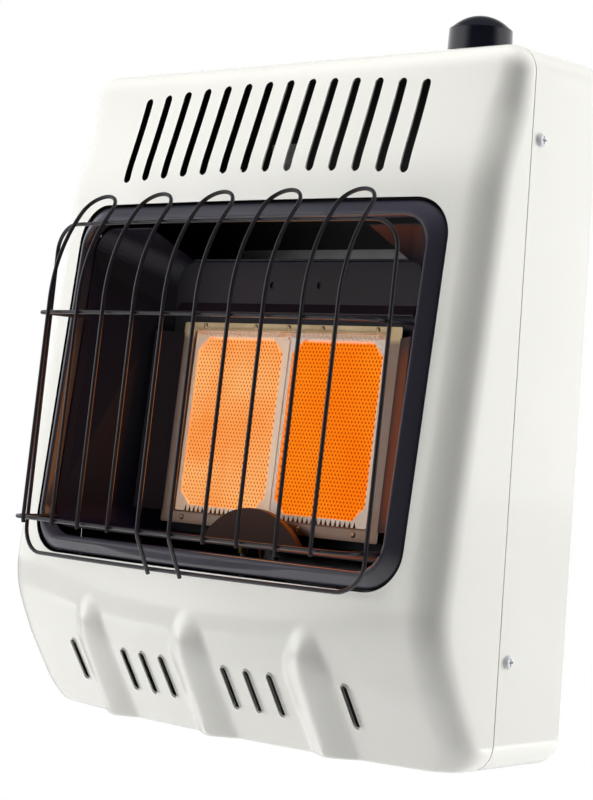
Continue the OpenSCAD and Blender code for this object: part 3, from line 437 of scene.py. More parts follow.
slot_tree, given = new_tree("slot_cutter", {
    "Width": "Float", "Length": "Float", "Depth": "Float", "Material": "Material"})
flat = slot_face(slot_tree, given)
thick = shader_node(slot_tree, "GeometryNodeExtrudeMesh", {
    "Mesh": flat, "Offset": (0, 0, 1), "Offset Scale": given["Depth"], "Individual": False})
back = shader_node(slot_tree, "GeometryNodeFlipFaces", {"Mesh": flat})
solid = shader_node(slot_tree, "GeometryNodeJoinGeometry")
slot_tree.links.new(thick.outputs["Mesh"], solid.inputs["Geometry"])
slot_tree.links.new(back.outputs["Mesh"], solid.inputs["Geometry"])
whole = shader_node(slot_tree, "GeometryNodeMergeByDistance", {"Geometry": solid, "Distance": merge_m})
standing = shader_node(slot_tree, "GeometryNodeInstanceOnPoints", {
    "Points": given["Geometry"], "Instance": whole, "Rotation": (math.radians(90), 0, 0)})
close_tree(slot_tree, standing, given["Material"])


def slot_cutters(name, centres, width, length):
    """Solids that cut slots through the cover's face."""
    values = {"Width": width / 1000, "Length": length / 1000, "Depth": slot_cut_d / 1000}
    return grown(name, slot_tree, values, placed([(x, slot_cut_y, z) for x, z in centres]))


lip_tree, given = new_tree("slot_lip", {
    "Width": "Float", "Length": "Float", "Depth": "Float", "Lean": "Float", "Material": "Material"})
flat = slot_face(lip_tree, given)
thick = shader_node(lip_tree, "GeometryNodeExtrudeMesh", {
    "Mesh": flat, "Offset": (0, 0, -1), "Offset Scale": given["Depth"], "Individual": False})
wall = shader_node(lip_tree, "GeometryNodeSeparateGeometry", {
    "Geometry": thick, "Selection": thick.outputs["Side"]}, domain="FACE")
turned = shader_node(lip_tree, "ShaderNodeCombineXYZ", {"X": given["Lean"]})
standing = shader_node(lip_tree, "GeometryNodeInstanceOnPoints", {
    "Points": given["Geometry"], "Instance": wall, "Rotation": turned})
close_tree(lip_tree, standing, given["Material"])


def cut_out(piece, cutter):
    """Takes a cutter's solid away from a piece, for good."""
    modifier = piece.modifiers.new("cut", "BOOLEAN")
    modifier.operation = "DIFFERENCE"
    modifier.solver = "EXACT"
    modifier.object = cutter
    settled(piece)
    gone(cutter)


def prism(name, outline_xz, y0, y1):
    """A closed block with its outline in the front view."""
    n = len(outline_xz)
    points = [(p[0], y, p[1]) for y in (y0, y1) for p in outline_xz]
    faces = grid_faces(2, n, ring=True) + [tuple(range(n)), tuple(range(2 * n - 1, n - 1, -1))]
    piece = new_piece(name, placed(points), faces)
    tidy(piece)
    return piece


profile = stepped(rounded([
    (-(base_d - base_flat), 0), (-base_d, 0), (-knee_d, knee_z), (-brow_d, brow_z),
    (-crown_d, cab_h), (-(casing_d + crown_flat), cab_h),
], [base_r, knee_r, brow_r, crown_r], bend_steps), row_step)
rows = [cover_row(y, z) for y, z in profile]
for share_left in (0.66, 0.33, 0):  # the bottom flange, back to the seam
    folded = rows[0].copy()
    folded[:, 1] = seam_y + (cover_row(*profile[0])[:, 1] - seam_y) * share_left
    rows.insert(0, folded)
folded = rows[-1].copy()
folded[:, 1] = seam_y
rows.append(folded)
cover = new_piece("cover", placed(np.concatenate(rows)), grid_faces(len(rows), len(rows[0])))
tidy(cover, turn=False)
if sum(p.normal.y for p in cover.data.polygons) > 0:
    cover.data.flip_normals()
skin = cover.modifiers.new("sheet", "SOLIDIFY")
skin.thickness = sheet_t / 1000
skin.offset = -1
settled(cover)
cover_low, cover_high = (p[2] for p in placed([(0, 0, 0), (0, 0, cab_h)]))
for v in cover.data.vertices:
    v.co.z = min(max(v.co.z, cover_low), cover_high)
middle = (louvre_count - 1) / 2
for k in range(louvre_count):
    rise = 1 - ((k - middle) / middle) ** 2
    top = louvre_mid_z + louvre_len / 2 + louvre_arch * rise - louvre_arch / 2
    low = louvre_mid_z - louvre_len / 2 + louvre_low_arch * rise - louvre_low_arch / 2
    cut_out(cover, slot_cutters(f"louvre_{k}", [((k - middle) * louvre_pitch, (top + low) / 2)],
                                louvre_w, top - low))
low_places = [k * air_slot_pitch for k in air_slot_places] + [-outer_slot_x, outer_slot_x]
cut_out(cover, slot_cutters("air_slots", [(x, air_slot_z) for x in low_places], air_slot_w, air_slot_len))
cut_out(cover, prism("window_hole", loop_xz(window_w, window_z, window_z + window_h, window_r), -200, -80))

lip_rings = []
for drop, inset in ((0, 0), (lip_d, 0), (lip_d, -sheet_t), (lip_start, -sheet_t)):
    loop = loop_xz(window_w - 2 * inset, window_z + inset, window_z + window_h - inset, window_r - inset)
    lip_rings += [(p[0], face_y(p[0], p[1]) + drop, p[1]) for p in loop]
loop_count = len(loop)
lip = new_piece("cover_lip", placed(lip_rings), grid_faces(4, loop_count, ring=True))
tidy(lip)


def joined(keep, *others):
    """Adds other pieces' faces to a piece."""
    work = bmesh.new()
    work.from_mesh(keep.data)
    for other in others:
        work.from_mesh(other.data)
        gone(other)
    work.to_mesh(keep.data)
    work.free()
    return keep


joined(cover, lip)
shaded(cover)


def surface_group(name, inputs, outputs):
    """A shader group with named inputs and outputs."""
    group = bpy.data.node_groups.new(name, "ShaderNodeTree")
    for label, (kind, value) in inputs.items():
        socket = group.interface.new_socket(label, in_out="INPUT", socket_type="NodeSocket" + kind)
        socket.default_value = value
    for label, kind in outputs.items():
        group.interface.new_socket(label, in_out="OUTPUT", socket_type="NodeSocket" + kind)
    return group, group.nodes.new("NodeGroupInput").outputs


def cloud(tree, scale, detail=2.0, stretch=(1, 1, 1)):
    """Noise over the piece's own coordinates."""
    where = shader_node(tree, "ShaderNodeTexCoord").outputs["Object"]
    turned = shader_node(tree, "ShaderNodeMapping", {"Vector": where, "Scale": stretch})
    noise = shader_node(tree, "ShaderNodeTexNoise", {
        "Vector": turned, "Scale": scale, "Detail": detail})
    return noise.outputs["Fac"]


# Baked paint: faint orange peel, a little drift in tone, and dust that dulls faces looking up
paint_group, given = surface_group("baked_paint", {
    "Colour": ("Color", (1, 1, 1, 1)), "Drift": ("Float", 0.04), "Roughness": ("Float", 0.3),
    "Dust": ("Float", 0.1),
}, {"Colour": "Color", "Roughness": "Float", "Height": "Float"})
drift = shader_node(paint_group, "ShaderNodeMapRange", {
    "Value": cloud(paint_group, 9), "From Min": 0.3, "From Max": 0.7, "To Min": -0.5, "To Max": 0.5})
amount = reckon(paint_group, "MULTIPLY", drift, given["Drift"])
tone = reckon(paint_group, "ADD", amount, 1.0)
toned = shader_node(paint_group, "ShaderNodeVectorMath", {
    0: given["Colour"], "Scale": tone}, operation="SCALE")
normal = shader_node(paint_group, "ShaderNodeNewGeometry").outputs["Normal"]
looks_up = shader_node(paint_group, "ShaderNodeSeparateXYZ", {"Vector": normal}).outputs["Z"]
lying = reckon(paint_group, "MULTIPLY", looks_up, given["Dust"], use_clamp=True)
grains = reckon(paint_group, "MULTIPLY", lying, cloud(paint_group, 420, 3))
dulled = reckon(paint_group, "ADD", given["Roughness"], grains)
shader_node(paint_group, "NodeGroupOutput", {
    "Colour": toned, "Roughness": dulled, "Height": cloud(paint_group, 900, 1)})

# Sheet and bar metal: fine drawn lines, cloudy tarnish and an optional heat tint
metal_group, given = surface_group("worked_metal", {
    "Colour": ("Color", (1, 1, 1, 1)), "Tarnish": ("Color", (1, 1, 1, 1)), "Tarnish Share": ("Float", 0.3),
    "Roughness": ("Float", 0.35), "Scale": ("Float", 60.0),
}, {"Colour": "Color", "Roughness": "Float", "Height": "Float"})
where = shader_node(metal_group, "ShaderNodeTexCoord").outputs["Object"]
lines = shader_node(metal_group, "ShaderNodeMapping", {"Vector": where, "Scale": (12, 12, 1)})
drawn = shader_node(metal_group, "ShaderNodeTexNoise", {
    "Vector": lines, "Scale": given["Scale"], "Detail": 4.0})
patches = reckon(metal_group, "MULTIPLY", cloud(metal_group, 34, 4), given["Tarnish Share"], use_clamp=True)
mixed = shader_node(metal_group, "ShaderNodeMix", {"Factor": patches}, data_type="RGBA")
metal_group.links.new(given["Colour"], mixed.inputs["A"])
metal_group.links.new(given["Tarnish"], mixed.inputs["B"])
uneven = reckon(metal_group, "MULTIPLY_ADD", drawn, 0.25, given["Roughness"])
shader_node(metal_group, "NodeGroupOutput", {
    "Colour": mixed.outputs[2], "Roughness": uneven, "Height": drawn})


def linear(red, green, blue):
    """A colour written as it looks on screen, from 0 to 255."""
    return tuple(
        v / 255 / 12.92 if v / 255 <= 0.04045 else ((v / 255 + 0.055) / 1.055) ** 2.4
        for v in (red, green, blue)
    ) + (1,)


def dressed_material(name, group, values, bump, metallic=0.0, coat=0.0, coat_rough=0.1, ior=1.5, glow=None):
    """A Principled material whose colour, roughness and relief come from a surface group."""
    material = plain_material(name)
    tree = material.node_tree
    source = shader_node(tree, "ShaderNodeGroup", node_tree=group)
    for label, value in values.items():
        source.inputs[label].default_value = value
    relief = shader_node(tree, "ShaderNodeBump", {
        "Height": source.outputs["Height"], "Strength": bump[0], "Distance": bump[1]})
    body = shader_node(tree, "ShaderNodeBsdfPrincipled", {
        "Base Color": source.outputs["Colour"], "Roughness": source.outputs["Roughness"],
        "Normal": relief, "Metallic": metallic, "IOR": ior,
        "Coat Weight": coat, "Coat Roughness": coat_rough})
    if glow:
        body.inputs["Emission Color"].default_value = glow[0]
        body.inputs["Emission Strength"].default_value = glow[1]
    shader_node(tree, "ShaderNodeOutputMaterial", {"Surface": body})
    return material


def paint(name, colour, roughness, drift=0.04, dust=0.1, peel=0.05, coat=0.0, coat_rough=0.1):
    """A baked paint or a smooth moulding."""
    values = {"Colour": colour, "Roughness": roughness, "Drift": drift, "Dust": dust}
    return dressed_material(name, paint_group, values, (peel, 0.0004), coat=coat, coat_rough=coat_rough)


def metal(name, colour, roughness, tarnish=(0.2, 0.18, 0.16, 1), share=0.3, relief=0.06, scale=60.0):
    """A bare or plated metal."""
    values = {"Colour": colour, "Roughness": roughness, "Scale": scale,
              "Tarnish": tarnish, "Tarnish Share": share}
    return dressed_material(name, metal_group, values, (relief, 0.0003), metallic=1.0)


def finished(piece, body, slot, *replaced):
    """Lets a finished piece ride on its body, in place of the nodes that it stands for."""
    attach(piece, body)
    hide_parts(*replaced)
    return piece


def clad(material, *names):
    """Gives frame nodes a better material."""
    for name in names:
        node = nodes[name]
        if not node.data.materials:
            node.data.materials.append(material)
        for place in node.material_slots:
            place.material = material


inside_colour, inside_rough = linear(34, 32, 34), 0.55
heart_rise, heart_limit = 0.3, -0.02
cover_paint = paint("cover_paint", linear(230, 229, 223), 0.22, drift=0.03, dust=0.0, peel=0.03,
                    coat=0.6, coat_rough=0.05)
dark_inside = metal("dark_inside", inside_colour, inside_rough, share=0.4)
cover.data.materials.clear()
cover.data.materials.append(cover_paint)
cover.data.materials.append(dark_inside)
lip_y = -(base_d + (knee_d - base_d) * air_slot_z / knee_z) + slot_lip_clear
low_lean = math.atan((knee_d - base_d) / knee_z)
slot_walls = grown("air_slot_walls", lip_tree, {
    "Width": air_slot_w / 1000, "Length": air_slot_len / 1000 / math.cos(low_lean),
    "Depth": slot_lip_d / 1000, "Lean": math.radians(90) + low_lean, "Material": cover_paint,
}, placed([(x, lip_y + bow(air_slot_z) * (x / half_w) ** 2, air_slot_z) for x in low_places]))
finished(slot_walls, "heater", "cover_paint")
heart = Vector((0, -casing_d / 1000, bottom + cab_h / 2000))
for face in cover.data.polygons:  # faces that look at the cabinet's heart take the dark inside colour
    out = face.center - heart
    out.z *= heart_rise
    face.material_index = 1 if face.normal.dot(out) < heart_limit * out.length else 0
finished(cover, "heater", "cover_paint", "front_cover")

# Rear casing, wall bracket and side screws
# The casing is a shallow folded pan in the cover's colour, hung on a zinc-plated strip. Four
# cross-recess screws go through its sides into the cover's tabs.
zinc = metal("zinc_plate", linear(205, 206, 208), 0.28, share=0.25)
panel_d, inside_slack = 7.5, 0.5
casing_paint = cover_paint.copy()
casing_paint.name = "casing_paint"
tree = casing_paint.node_tree
outside = next(n for n in tree.nodes if n.type == "BSDF_PRINCIPLED")
pan_low, pan_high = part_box("rear_casing")
pan_middle, pan_reach = (pan_low + pan_high) / 2, (pan_high - pan_low) / 2
here = shader_node(tree, "ShaderNodeTexCoord").outputs["Object"]
place = here  # how far a point lies out of the pan's box, whose corners are rounded
for operation, operand in (
    ("SUBTRACT", pan_middle), ("ABSOLUTE", None), ("SUBTRACT", pan_reach - Vector([corner_r / 1000] * 3)),
    ("MAXIMUM", (0, 0, 0)), ("MULTIPLY", (1, 0, 1)), ("LENGTH", None),
):
    step = shader_node(tree, "ShaderNodeVectorMath", {0: place}, operation=operation)
    if operand is not None:
        step.inputs[1].default_value = operand
    place = step.outputs["Value" if operation == "LENGTH" else "Vector"]
# Faces inside the pan's rounded outline and forward of its back take the dark inside colour.
round_edge = reckon(tree, "LESS_THAN", place, (corner_r - inside_slack) / 1000)
depth = shader_node(tree, "ShaderNodeSeparateXYZ", {"Vector": here})
before_panel = reckon(tree, "LESS_THAN", depth.outputs["Y"], -panel_d / 1000)
within = reckon(tree, "MULTIPLY", round_edge, before_panel)
inside = shader_node(tree, "ShaderNodeBsdfPrincipled", {
    "Base Color": inside_colour, "Roughness": inside_rough})
either = shader_node(tree, "ShaderNodeMixShader", {
    "Fac": within, 1: outside.outputs["BSDF"], 2: inside})
target = next(n for n in tree.nodes if n.type == "OUTPUT_MATERIAL")
tree.links.new(either.outputs["Shader"], target.inputs["Surface"])
clad(casing_paint, "rear_casing")
clad(zinc, "wall_bracket", "control_stem")
clad(paint("pale_zinc", linear(222, 223, 226), 0.3, dust=0.0, coat=0.5), "side_screws")

# Window bezel
# A pressed frame in gloss navy-black enamel. Its face is flat where the cover is bowed, so it stands
# out of the opening at the sides, and its inner edge rolls back to the firebox.
bezel_lip = 12
bezel_rings = [  # inset, drop, whether the ring follows the cover's bow
    (1.2, 9.0, 1.0), (1.2, 3.4, 1.0), (1.8, 2.2, 0.95), (3.0, 1.5, 0.85), (6.0, 0.9, 0.5), (9.0, 0.5, 0.2),
    (10.6, 0.4, 0.05), (11.7, 0.8, 0.0), (12.5, 1.6, 0.0), (12.9, 2.8, 0.0), (13.0, 4.0, 0.0),
    (13.0, bezel_lip, 0.0), (12.0, bezel_lip, 0.0), (12.0, 4.0, 0.0), (10.4, 2.2, 0.05), (2.4, 3.6, 0.9),
    (2.2, 9.0, 1.0),
]
ring_points = []
for inset, drop, share in bezel_rings:
    loop = loop_xz(window_w - 2 * inset, window_z + inset, window_z + window_h - inset, window_r - inset / 2)
    ring_points += [
        (x, window_y(z) + share * bow(z) * (x / half_w) ** 2 + drop, z) for x, z in loop]
ring_faces = grid_faces(len(bezel_rings), loop_count, ring=True)
last = (len(bezel_rings) - 1) * loop_count
ring_faces += [(last + j, last + (j + 1) % loop_count, (j + 1) % loop_count, j) for j in range(loop_count)]
bezel = new_piece("bezel", placed(ring_points), ring_faces)
tidy(bezel)
shaded(bezel, 40)
bezel_enamel = paint("bezel_enamel", linear(52, 51, 62), 0.4, drift=0.1, dust=0.2, coat=0.7, coat_rough=0.1)
bezel.data.materials.append(bezel_enamel)
finished(bezel, "heater", "bezel_enamel", "window_bezel")

# Guard
# Steel wire, bent and spot-welded: a closed frame, two bars whose ends hook into the bezel, and five
# hairpins that bow over the window. All of it is dipped in satin charcoal enamel.
wire_d, wire_pitch = 3.2, 30.5
wire_seen_d, wire_sides = 2.9, 14
bar_up_d, bar_up_z = 184.3, 291
bar_low_d, bar_low_z = 195.1, 141.5
guard_bend_r, guard_turn, guard_bow = 120, math.radians(39.5), 9
crest_rise = 8
frame_w, frame_r = 323, 20
frame_z0, frame_z1 = window_z, bar_up_z + 66
frame_side_d, frame_lean, frame_up_bow, frame_low_bow = 154, 15, 9, 13
bar_reach, bar_bend_r, leg_end, leg_bend_r, foot_turn = 30, 8, 3.4, 18, 0.5

wire_tree, given = new_tree("bent_wire", {"Radius": "Float", "Material": "Material"})
line = shader_node(wire_tree, "GeometryNodeMeshToCurve", {"Mesh": given["Geometry"]})
section = shader_node(wire_tree, "GeometryNodeCurvePrimitiveCircle", {
    "Resolution": wire_sides, "Radius": given["Radius"]})
swept = shader_node(wire_tree, "GeometryNodeCurveToMesh", {
    "Curve": line, "Profile Curve": section, "Fill Caps": True})
close_tree(wire_tree, swept, given["Material"])
guard_enamel = paint("guard_enamel", linear(30, 27, 33), 0.3, drift=0.2, dust=0.1, peel=0.12,
                     coat=0.3, coat_rough=0.2)


def wire(name, path, node, closed=False):
    """A bent wire that stands for its node."""
    n = len(path)
    edges = [(i, (i + 1) % n) for i in range(n if closed else n - 1)]
    values = {"Radius": wire_seen_d / 2000, "Material": guard_enamel}
    piece = grown(name, wire_tree, values, placed(path), edges)
    piece.data.validate()
    shaded(piece, 50)
    return finished(piece, "heater", "guard_enamel", node)


def frame_wire_y(x, z):
    """The depth of the guard's closed frame, which bows and leans."""
    t = (z - frame_z0) / (frame_z1 - frame_z0)
    deep = frame_low_bow + (frame_up_bow - frame_low_bow) * t
    return -frame_side_d - frame_lean * (1 - t) - deep * (1 - (2 * x / frame_w) ** 2)


def bar_path(depth, z):
    """A cross wire: bowed row, then a bend at each end and a leg back to the bezel."""
    x = frame_w / 2 - wire_d
    row = [np.array([s * (x - bar_bend_r), -depth + guard_bow * s * s, z]) for s in np.linspace(-1, 1, 41)]
    side = -depth + guard_bow
    corner = bend(np.array([0, side, z]), np.array([x, side + wire_d / 2, z]),
                  np.array([x, side + bar_reach, z]), bar_bend_r, 8)
    other = [p * [-1, 1, 1] for p in corner[::-1]]
    deep = window_y(z) + bezel_lip
    return [np.array([-x, deep, z])] + other[:-1] + row + corner[1:] + [np.array([x, deep, z])]


def leg_y(z):
    """The depth of the hairpins' legs, which lie on both bars."""
    return -bar_low_d + (bar_low_d - bar_up_d) * (z - bar_low_z) / (bar_up_z - bar_low_z) - wire_d


def hairpin_path(k):
    """A hairpin: foot, leg, bend over the top, round tip, and back down."""
    x0 = (2 * k - 4.5) * wire_pitch  # ten legs stand evenly about the middle
    xm, r = x0 + wire_pitch / 2, wire_pitch / 2
    centre = k == 2
    b = guard_bow * (xm / (frame_w / 2)) ** 2
    low_z = frame_z0 if centre else bar_low_z
    foot_y = frame_wire_y(xm, frame_z0) - wire_d if centre else leg_y(low_z) + b
    lean = math.atan((leg_y(bar_low_z) - leg_y(bar_up_z)) / (bar_low_z - bar_up_z))
    crest = [
        (leg_y(bar_up_z + crest_rise) + b + guard_bend_r * (math.cos(lean) - math.cos(a)),
         bar_up_z + crest_rise + guard_bend_r * (math.sin(a) - math.sin(lean)))
        for a in np.linspace(lean, guard_turn, 25)
    ]
    if centre:
        foot = rounded([(foot_y + foot_turn, low_z - wire_d), (leg_y(bar_low_z) + b, bar_low_z - wire_d / 2),
                        (leg_y(bar_low_z + leg_bend_r) + b, bar_low_z + leg_bend_r)], [leg_bend_r], 8)
    else:
        foot = [(foot_y + foot_turn, low_z - leg_end), (foot_y, low_z)]
    leg = [tuple(p) for p in foot] + crest
    tip, along = crest[-1], (math.sin(guard_turn), math.cos(guard_turn))
    left = [(x0, y, z) for y, z in leg]
    arch = [(xm - r * math.cos(a), tip[0] + along[0] * r * math.sin(a), tip[1] + along[1] * r * math.sin(a))
            for a in np.radians(np.arange(10, 180, 10))]
    return left + arch + [(x0 + wire_pitch, y, z) for y, z in leg[::-1]]


frame_loop = loop_xz(frame_w, frame_z0, frame_z1, frame_r, steps=10, along=14)
wire("guard_ring", [(p[0], frame_wire_y(*p), p[1]) for p in frame_loop], "guard_frame", closed=True)
wire("guard_upper_wire", bar_path(bar_up_d, bar_up_z), "guard_bar_upper")
wire("guard_lower_wire", bar_path(bar_low_d, bar_low_z), "guard_bar_lower")
for k in range(5):
    wire(f"guard_hairpin_wire_{k + 1}", hairpin_path(k), f"guard_hairpin_{k + 1}")

# Firebox
# A splayed tray of dark heat-proof enamelled steel behind the bezel. It is open at the top for the
# hot air, and its back has a cut-out for the burner.
fire_enamel = paint("fire_enamel", linear(17, 11, 28), 0.5, drift=0.4, dust=0.02, peel=0.1,
                    coat=0.06, coat_rough=0.3)
clad(fire_enamel, "firebox")

# Burner sheet metal
# Baffle and both reflectors are browned by heat, the pilot's shield is scorched, the burner frame is
# straw-coloured, and the burner body, venturi, heat shield and all brackets are plain aluminised steel.
browned = paint("browned_steel", linear(26, 14, 24), 0.5, drift=0.5, dust=0.2, peel=0.1)
straw = metal("straw_steel", linear(236, 214, 172), 0.26, tarnish=linear(150, 108, 72), share=0.8)
aluminised = metal("aluminised_steel", linear(186, 186, 188), 0.3, tarnish=linear(110, 106, 102), share=0.6)
scorched = paint("scorched_steel", linear(52, 25, 14), 0.55, drift=0.6, dust=0.02, peel=0.1)
clad(browned, "heat_baffle", "reflector_left", "reflector_right")
clad(scorched, "pilot_shield")
clad(aluminised, "burner_body", "venturi", "injector_bracket", "pilot_bracket",
     "support_left", "support_right", "heat_shield", "valve_bracket", "regulator_bracket")

# Tiles and gasket
# Pressed ceramic plaques, pierced by more than a thousand ports each, glow orange where the gas
# burns. Their plain rims and the fibre gasket stay pale, with a faint painted glow for the fire's light on
# them.
port_pitch = 3.1
port_share = 0.68
port_depth = 0.9
port_taper = 0.75
port_first, port_clear, port_corner = 0.6, 0.45, 0.6  # shares of the pitch
fire_reach = 2.5
tile_w, tile_h, tile_t = 92, 135.6, 13
tile_rim_x, tile_rim_z, tile_cut, tile_sunk = 4, 5, 10, 2.2
port_y = 0.6
burner_d, burner_z, burner_lean = 84.5, 151.8, math.radians(5.1)
tick_count, tick_w, tick_len, tick_depth, tick_edge = 17, 2.6, 4.4, 3, 0.4
tile_split = 1.6


def on_burner(points):
    """Points in the leaning burner's own frame, moved into the heater's millimetres."""
    p = np.asarray(points, float)
    c, s = math.cos(burner_lean), math.sin(burner_lean)
    return np.stack([p[:, 0], -burner_d + p[:, 1] * c + p[:, 2] * s, burner_z - p[:, 1] * s + p[:, 2] * c], 1)


port_tree, given = new_tree("burner_ports", {
    "Cell": "Float", "Share": "Float", "Depth": "Float", "Lean": "Float", "Material": "Material"})
cell = shader_node(port_tree, "GeometryNodeMeshCircle", {
    "Vertices": 6, "Radius": given["Cell"]}, fill_type="NGON")
pointed = shader_node(port_tree, "GeometryNodeTransform", {
    "Geometry": cell, "Rotation": (0, 0, math.radians(30))})
rim = shader_node(port_tree, "GeometryNodeExtrudeMesh", {"Mesh": pointed, "Offset Scale": 0.0})
mouth = shader_node(port_tree, "GeometryNodeScaleElements", {
    "Geometry": rim, "Selection": rim.outputs["Top"], "Scale": given["Share"]})
deep = reckon(port_tree, "MULTIPLY", given["Depth"], -1.0)
pit = shader_node(port_tree, "GeometryNodeExtrudeMesh", {
    "Mesh": mouth, "Selection": rim.outputs["Top"], "Offset Scale": deep})
pit_share = shader_node(port_tree, "GeometryNodeScaleElements", {
    "Geometry": pit, "Selection": pit.outputs["Top"], "Scale": port_taper})
marked = shader_node(port_tree, "GeometryNodeStoreNamedAttribute", {
    "Geometry": pit_share, "Selection": pit.outputs["Top"], "Name": "port", "Value": 1.0},
    domain="FACE", data_type="FLOAT")
lean_euler = shader_node(port_tree, "ShaderNodeCombineXYZ", {"X": given["Lean"]})
laid = shader_node(port_tree, "GeometryNodeInstanceOnPoints", {
    "Points": given["Geometry"], "Instance": marked, "Rotation": lean_euler})
close_tree(port_tree, laid, given["Material"])


def glowing(name, hot, pale, depth_colour, strength):
    """Glowing ceramic: bright land, darker port bottoms, and slow drift between two tones."""
    material = plain_material(name)
    tree = material.node_tree
    drift = shader_node(tree, "ShaderNodeMapRange", {
        "Value": cloud(tree, 22, 3), "From Min": 0.35, "From Max": 0.65})
    land = shader_node(tree, "ShaderNodeMix", {"Factor": drift}, data_type="RGBA")
    land.inputs[6].default_value, land.inputs[7].default_value = hot, pale
    port = shader_node(tree, "ShaderNodeAttribute", attribute_name="port").outputs["Fac"]
    fire = shader_node(tree, "ShaderNodeMix", {"Factor": port}, data_type="RGBA")
    tree.links.new(land.outputs[2], fire.inputs[6])
    fire.inputs[7].default_value = depth_colour
    path = shader_node(tree, "ShaderNodeLightPath")
    power = shader_node(tree, "ShaderNodeMapRange", {
        "Value": path.outputs["Is Camera Ray"], "To Min": strength * fire_reach, "To Max": strength})
    body = shader_node(tree, "ShaderNodeBsdfPrincipled", {
        "Base Color": (0.02, 0.01, 0.004, 1), "Roughness": 0.95, "Specular IOR Level": 0.0,
        "Emission Color": fire.outputs[2], "Emission Strength": power})
    shader_node(tree, "ShaderNodeOutputMaterial", {"Surface": body})
    return material


def ceramic(name, colour, glow, strength):
    """Plain ceramic with a faint painted glow in the fire's colour, for the fire's light falling on it."""
    values = {"Colour": colour, "Roughness": 0.85, "Drift": 0.12, "Dust": 0.0}
    return dressed_material(name, paint_group, values, (0.3, 0.0006), glow=(glow, strength))


def tile(side, name, node, fire, rim_look):
    """One plaque: rim with pressed ticks, sunk face with chamfered corners, and its ports."""
    x0 = tile_split / 2 if side > 0 else -tile_split / 2 - tile_w
    xm = x0 + tile_w / 2
    hx, hz = tile_w / 2 - tile_rim_x, tile_h / 2 - tile_rim_z
    corners = ((1, -1, 1), (1, 1, -1), (-1, 1, 1), (-1, -1, -1))  # sides, and which end comes first
    sunk = [(xm + sx * a, tile_h / 2 + sz * b) for sx, sz, order in corners
            for a, b in [(hx - tile_cut, hz), (hx, hz - tile_cut)][::order]]
    box = [(x0, 0), (x0 + tile_w, 0), (x0 + tile_w, tile_h), (x0, tile_h)]
    n = len(sunk)
    points = [(x, 0, z) for x, z in box] + [(x, tile_t, z) for x, z in box]
    points += [(x, 0, z) for x, z in sunk] + [(x, tile_sunk, z) for x, z in sunk]
    f, s = 8, 8 + n
    faces = [(4, 7, 6, 5), (0, 4, 5, 1), (1, 5, 6, 2), (2, 6, 7, 3), (3, 7, 4, 0)]
    faces += [(f + i, f + (i + 1) % n, s + (i + 1) % n, s + i) for i in range(n)]
    faces += [tuple(s + i for i in range(n))]
    faces += [(1, f + 1, f), (1, 2, f + 2, f + 1), (2, f + 3, f + 2), (2, 3, f + 4, f + 3),
              (3, f + 5, f + 4), (3, 0, f + 6, f + 5), (0, f + 7, f + 6), (0, 1, f, f + 7)]
    piece = new_piece(name, placed(on_burner(points)), faces)
    tidy(piece)
    wedges, wedge_faces = [], []
    for k in range(tick_count):
        x = xm + (k - (tick_count - 1) / 2) * (2 * hx - tile_cut) / tick_count
        for edge, inward in ((tick_edge, 1), (tile_h - tick_edge, -1)):
            w = len(wedges)
            left, right, tip = x - tick_w / 2, x + tick_w / 2, edge + inward * tick_len
            wedges += [(left, -1, edge), (right, -1, edge), (x, -1, tip),
                       (left, tick_depth, edge), (right, tick_depth, edge), (x, 0.2, tip)]
            wedge_faces += [tuple(w + i for i in f) for f in (
                (0, 1, 2), (3, 5, 4), (0, 3, 4, 1), (1, 4, 5, 2), (2, 5, 3, 0))]
    ticks = new_piece("ticks", placed(on_burner(wedges)), wedge_faces)
    tidy(ticks)
    cut_out(piece, ticks)
    piece.data.materials.clear()
    piece.data.materials.append(rim_look)
    piece.data.materials.append(painted_tick_shade)
    # Faces inside the pressed ticks take the darker second material: painted shade in the recesses.
    for face in piece.data.polygons:
        y = face.center.y * 1000 + burner_d
        z = (face.center.z - bottom) * 1000 - burner_z
        deep = y * math.cos(burner_lean) - z * math.sin(burner_lean)
        high = y * math.sin(burner_lean) + z * math.cos(burner_lean)
        at_edge = min(high, tile_h - high) < tile_rim_z - 0.1
        face.material_index = 1 if at_edge and 0.05 < deep < tick_depth + 0.05 else 0
    row_pitch = port_pitch * math.sqrt(3) / 2
    lattice = []
    for j in range(int(2 * hz / row_pitch)):
        z = tile_h / 2 - hz + (j + port_first) * row_pitch
        for i in range(-20, 21):
            x = xm + (i + 0.5 * (j % 2)) * port_pitch
            aside = abs(x - xm)
            in_corner = aside + abs(z - tile_h / 2) >= hx + hz - tile_cut - port_pitch * port_corner
            if aside < hx - port_pitch * port_clear and not in_corner:
                lattice.append((x, port_y, z))
    ports = grown(name + "_ports", port_tree, {
        "Cell": port_pitch / math.sqrt(3) / 1000, "Share": port_share, "Depth": port_depth / 1000,
        "Lean": math.radians(90) - burner_lean, "Material": fire}, placed(on_burner(lattice)))
    finished(piece, "heater", "glowing_ceramic", node)
    finished(ports, "heater", "glowing_ceramic", node)


# Darker ceramic for the tick recesses: painted shade, with a trace of painted glow.
painted_tick_shade = ceramic("painted_tick_shade", linear(96, 84, 78), linear(250, 150, 80), 0.02)
left_fire = glowing("left_fire", linear(252, 176, 104), linear(252, 150, 70), linear(176, 78, 24), 1.0)
right_fire = glowing("right_fire", linear(252, 132, 18), linear(250, 118, 8), linear(156, 48, 0), 1.0)
# The small glow strengths on the rims and the gasket are painted light from the fire, not their own glow.
left_rim = ceramic("left_rim", linear(240, 214, 190), linear(250, 170, 110), 0.1)
right_rim = ceramic("right_rim", linear(234, 220, 206), linear(250, 150, 80), 0.05)
tile(-1, "left_plaque", "tile_left", left_fire, left_rim)
tile(1, "right_plaque", "tile_right", right_fire, right_rim)
clad(ceramic("fibre", linear(235, 220, 200), linear(250, 160, 90), 0.12), "tile_gasket")

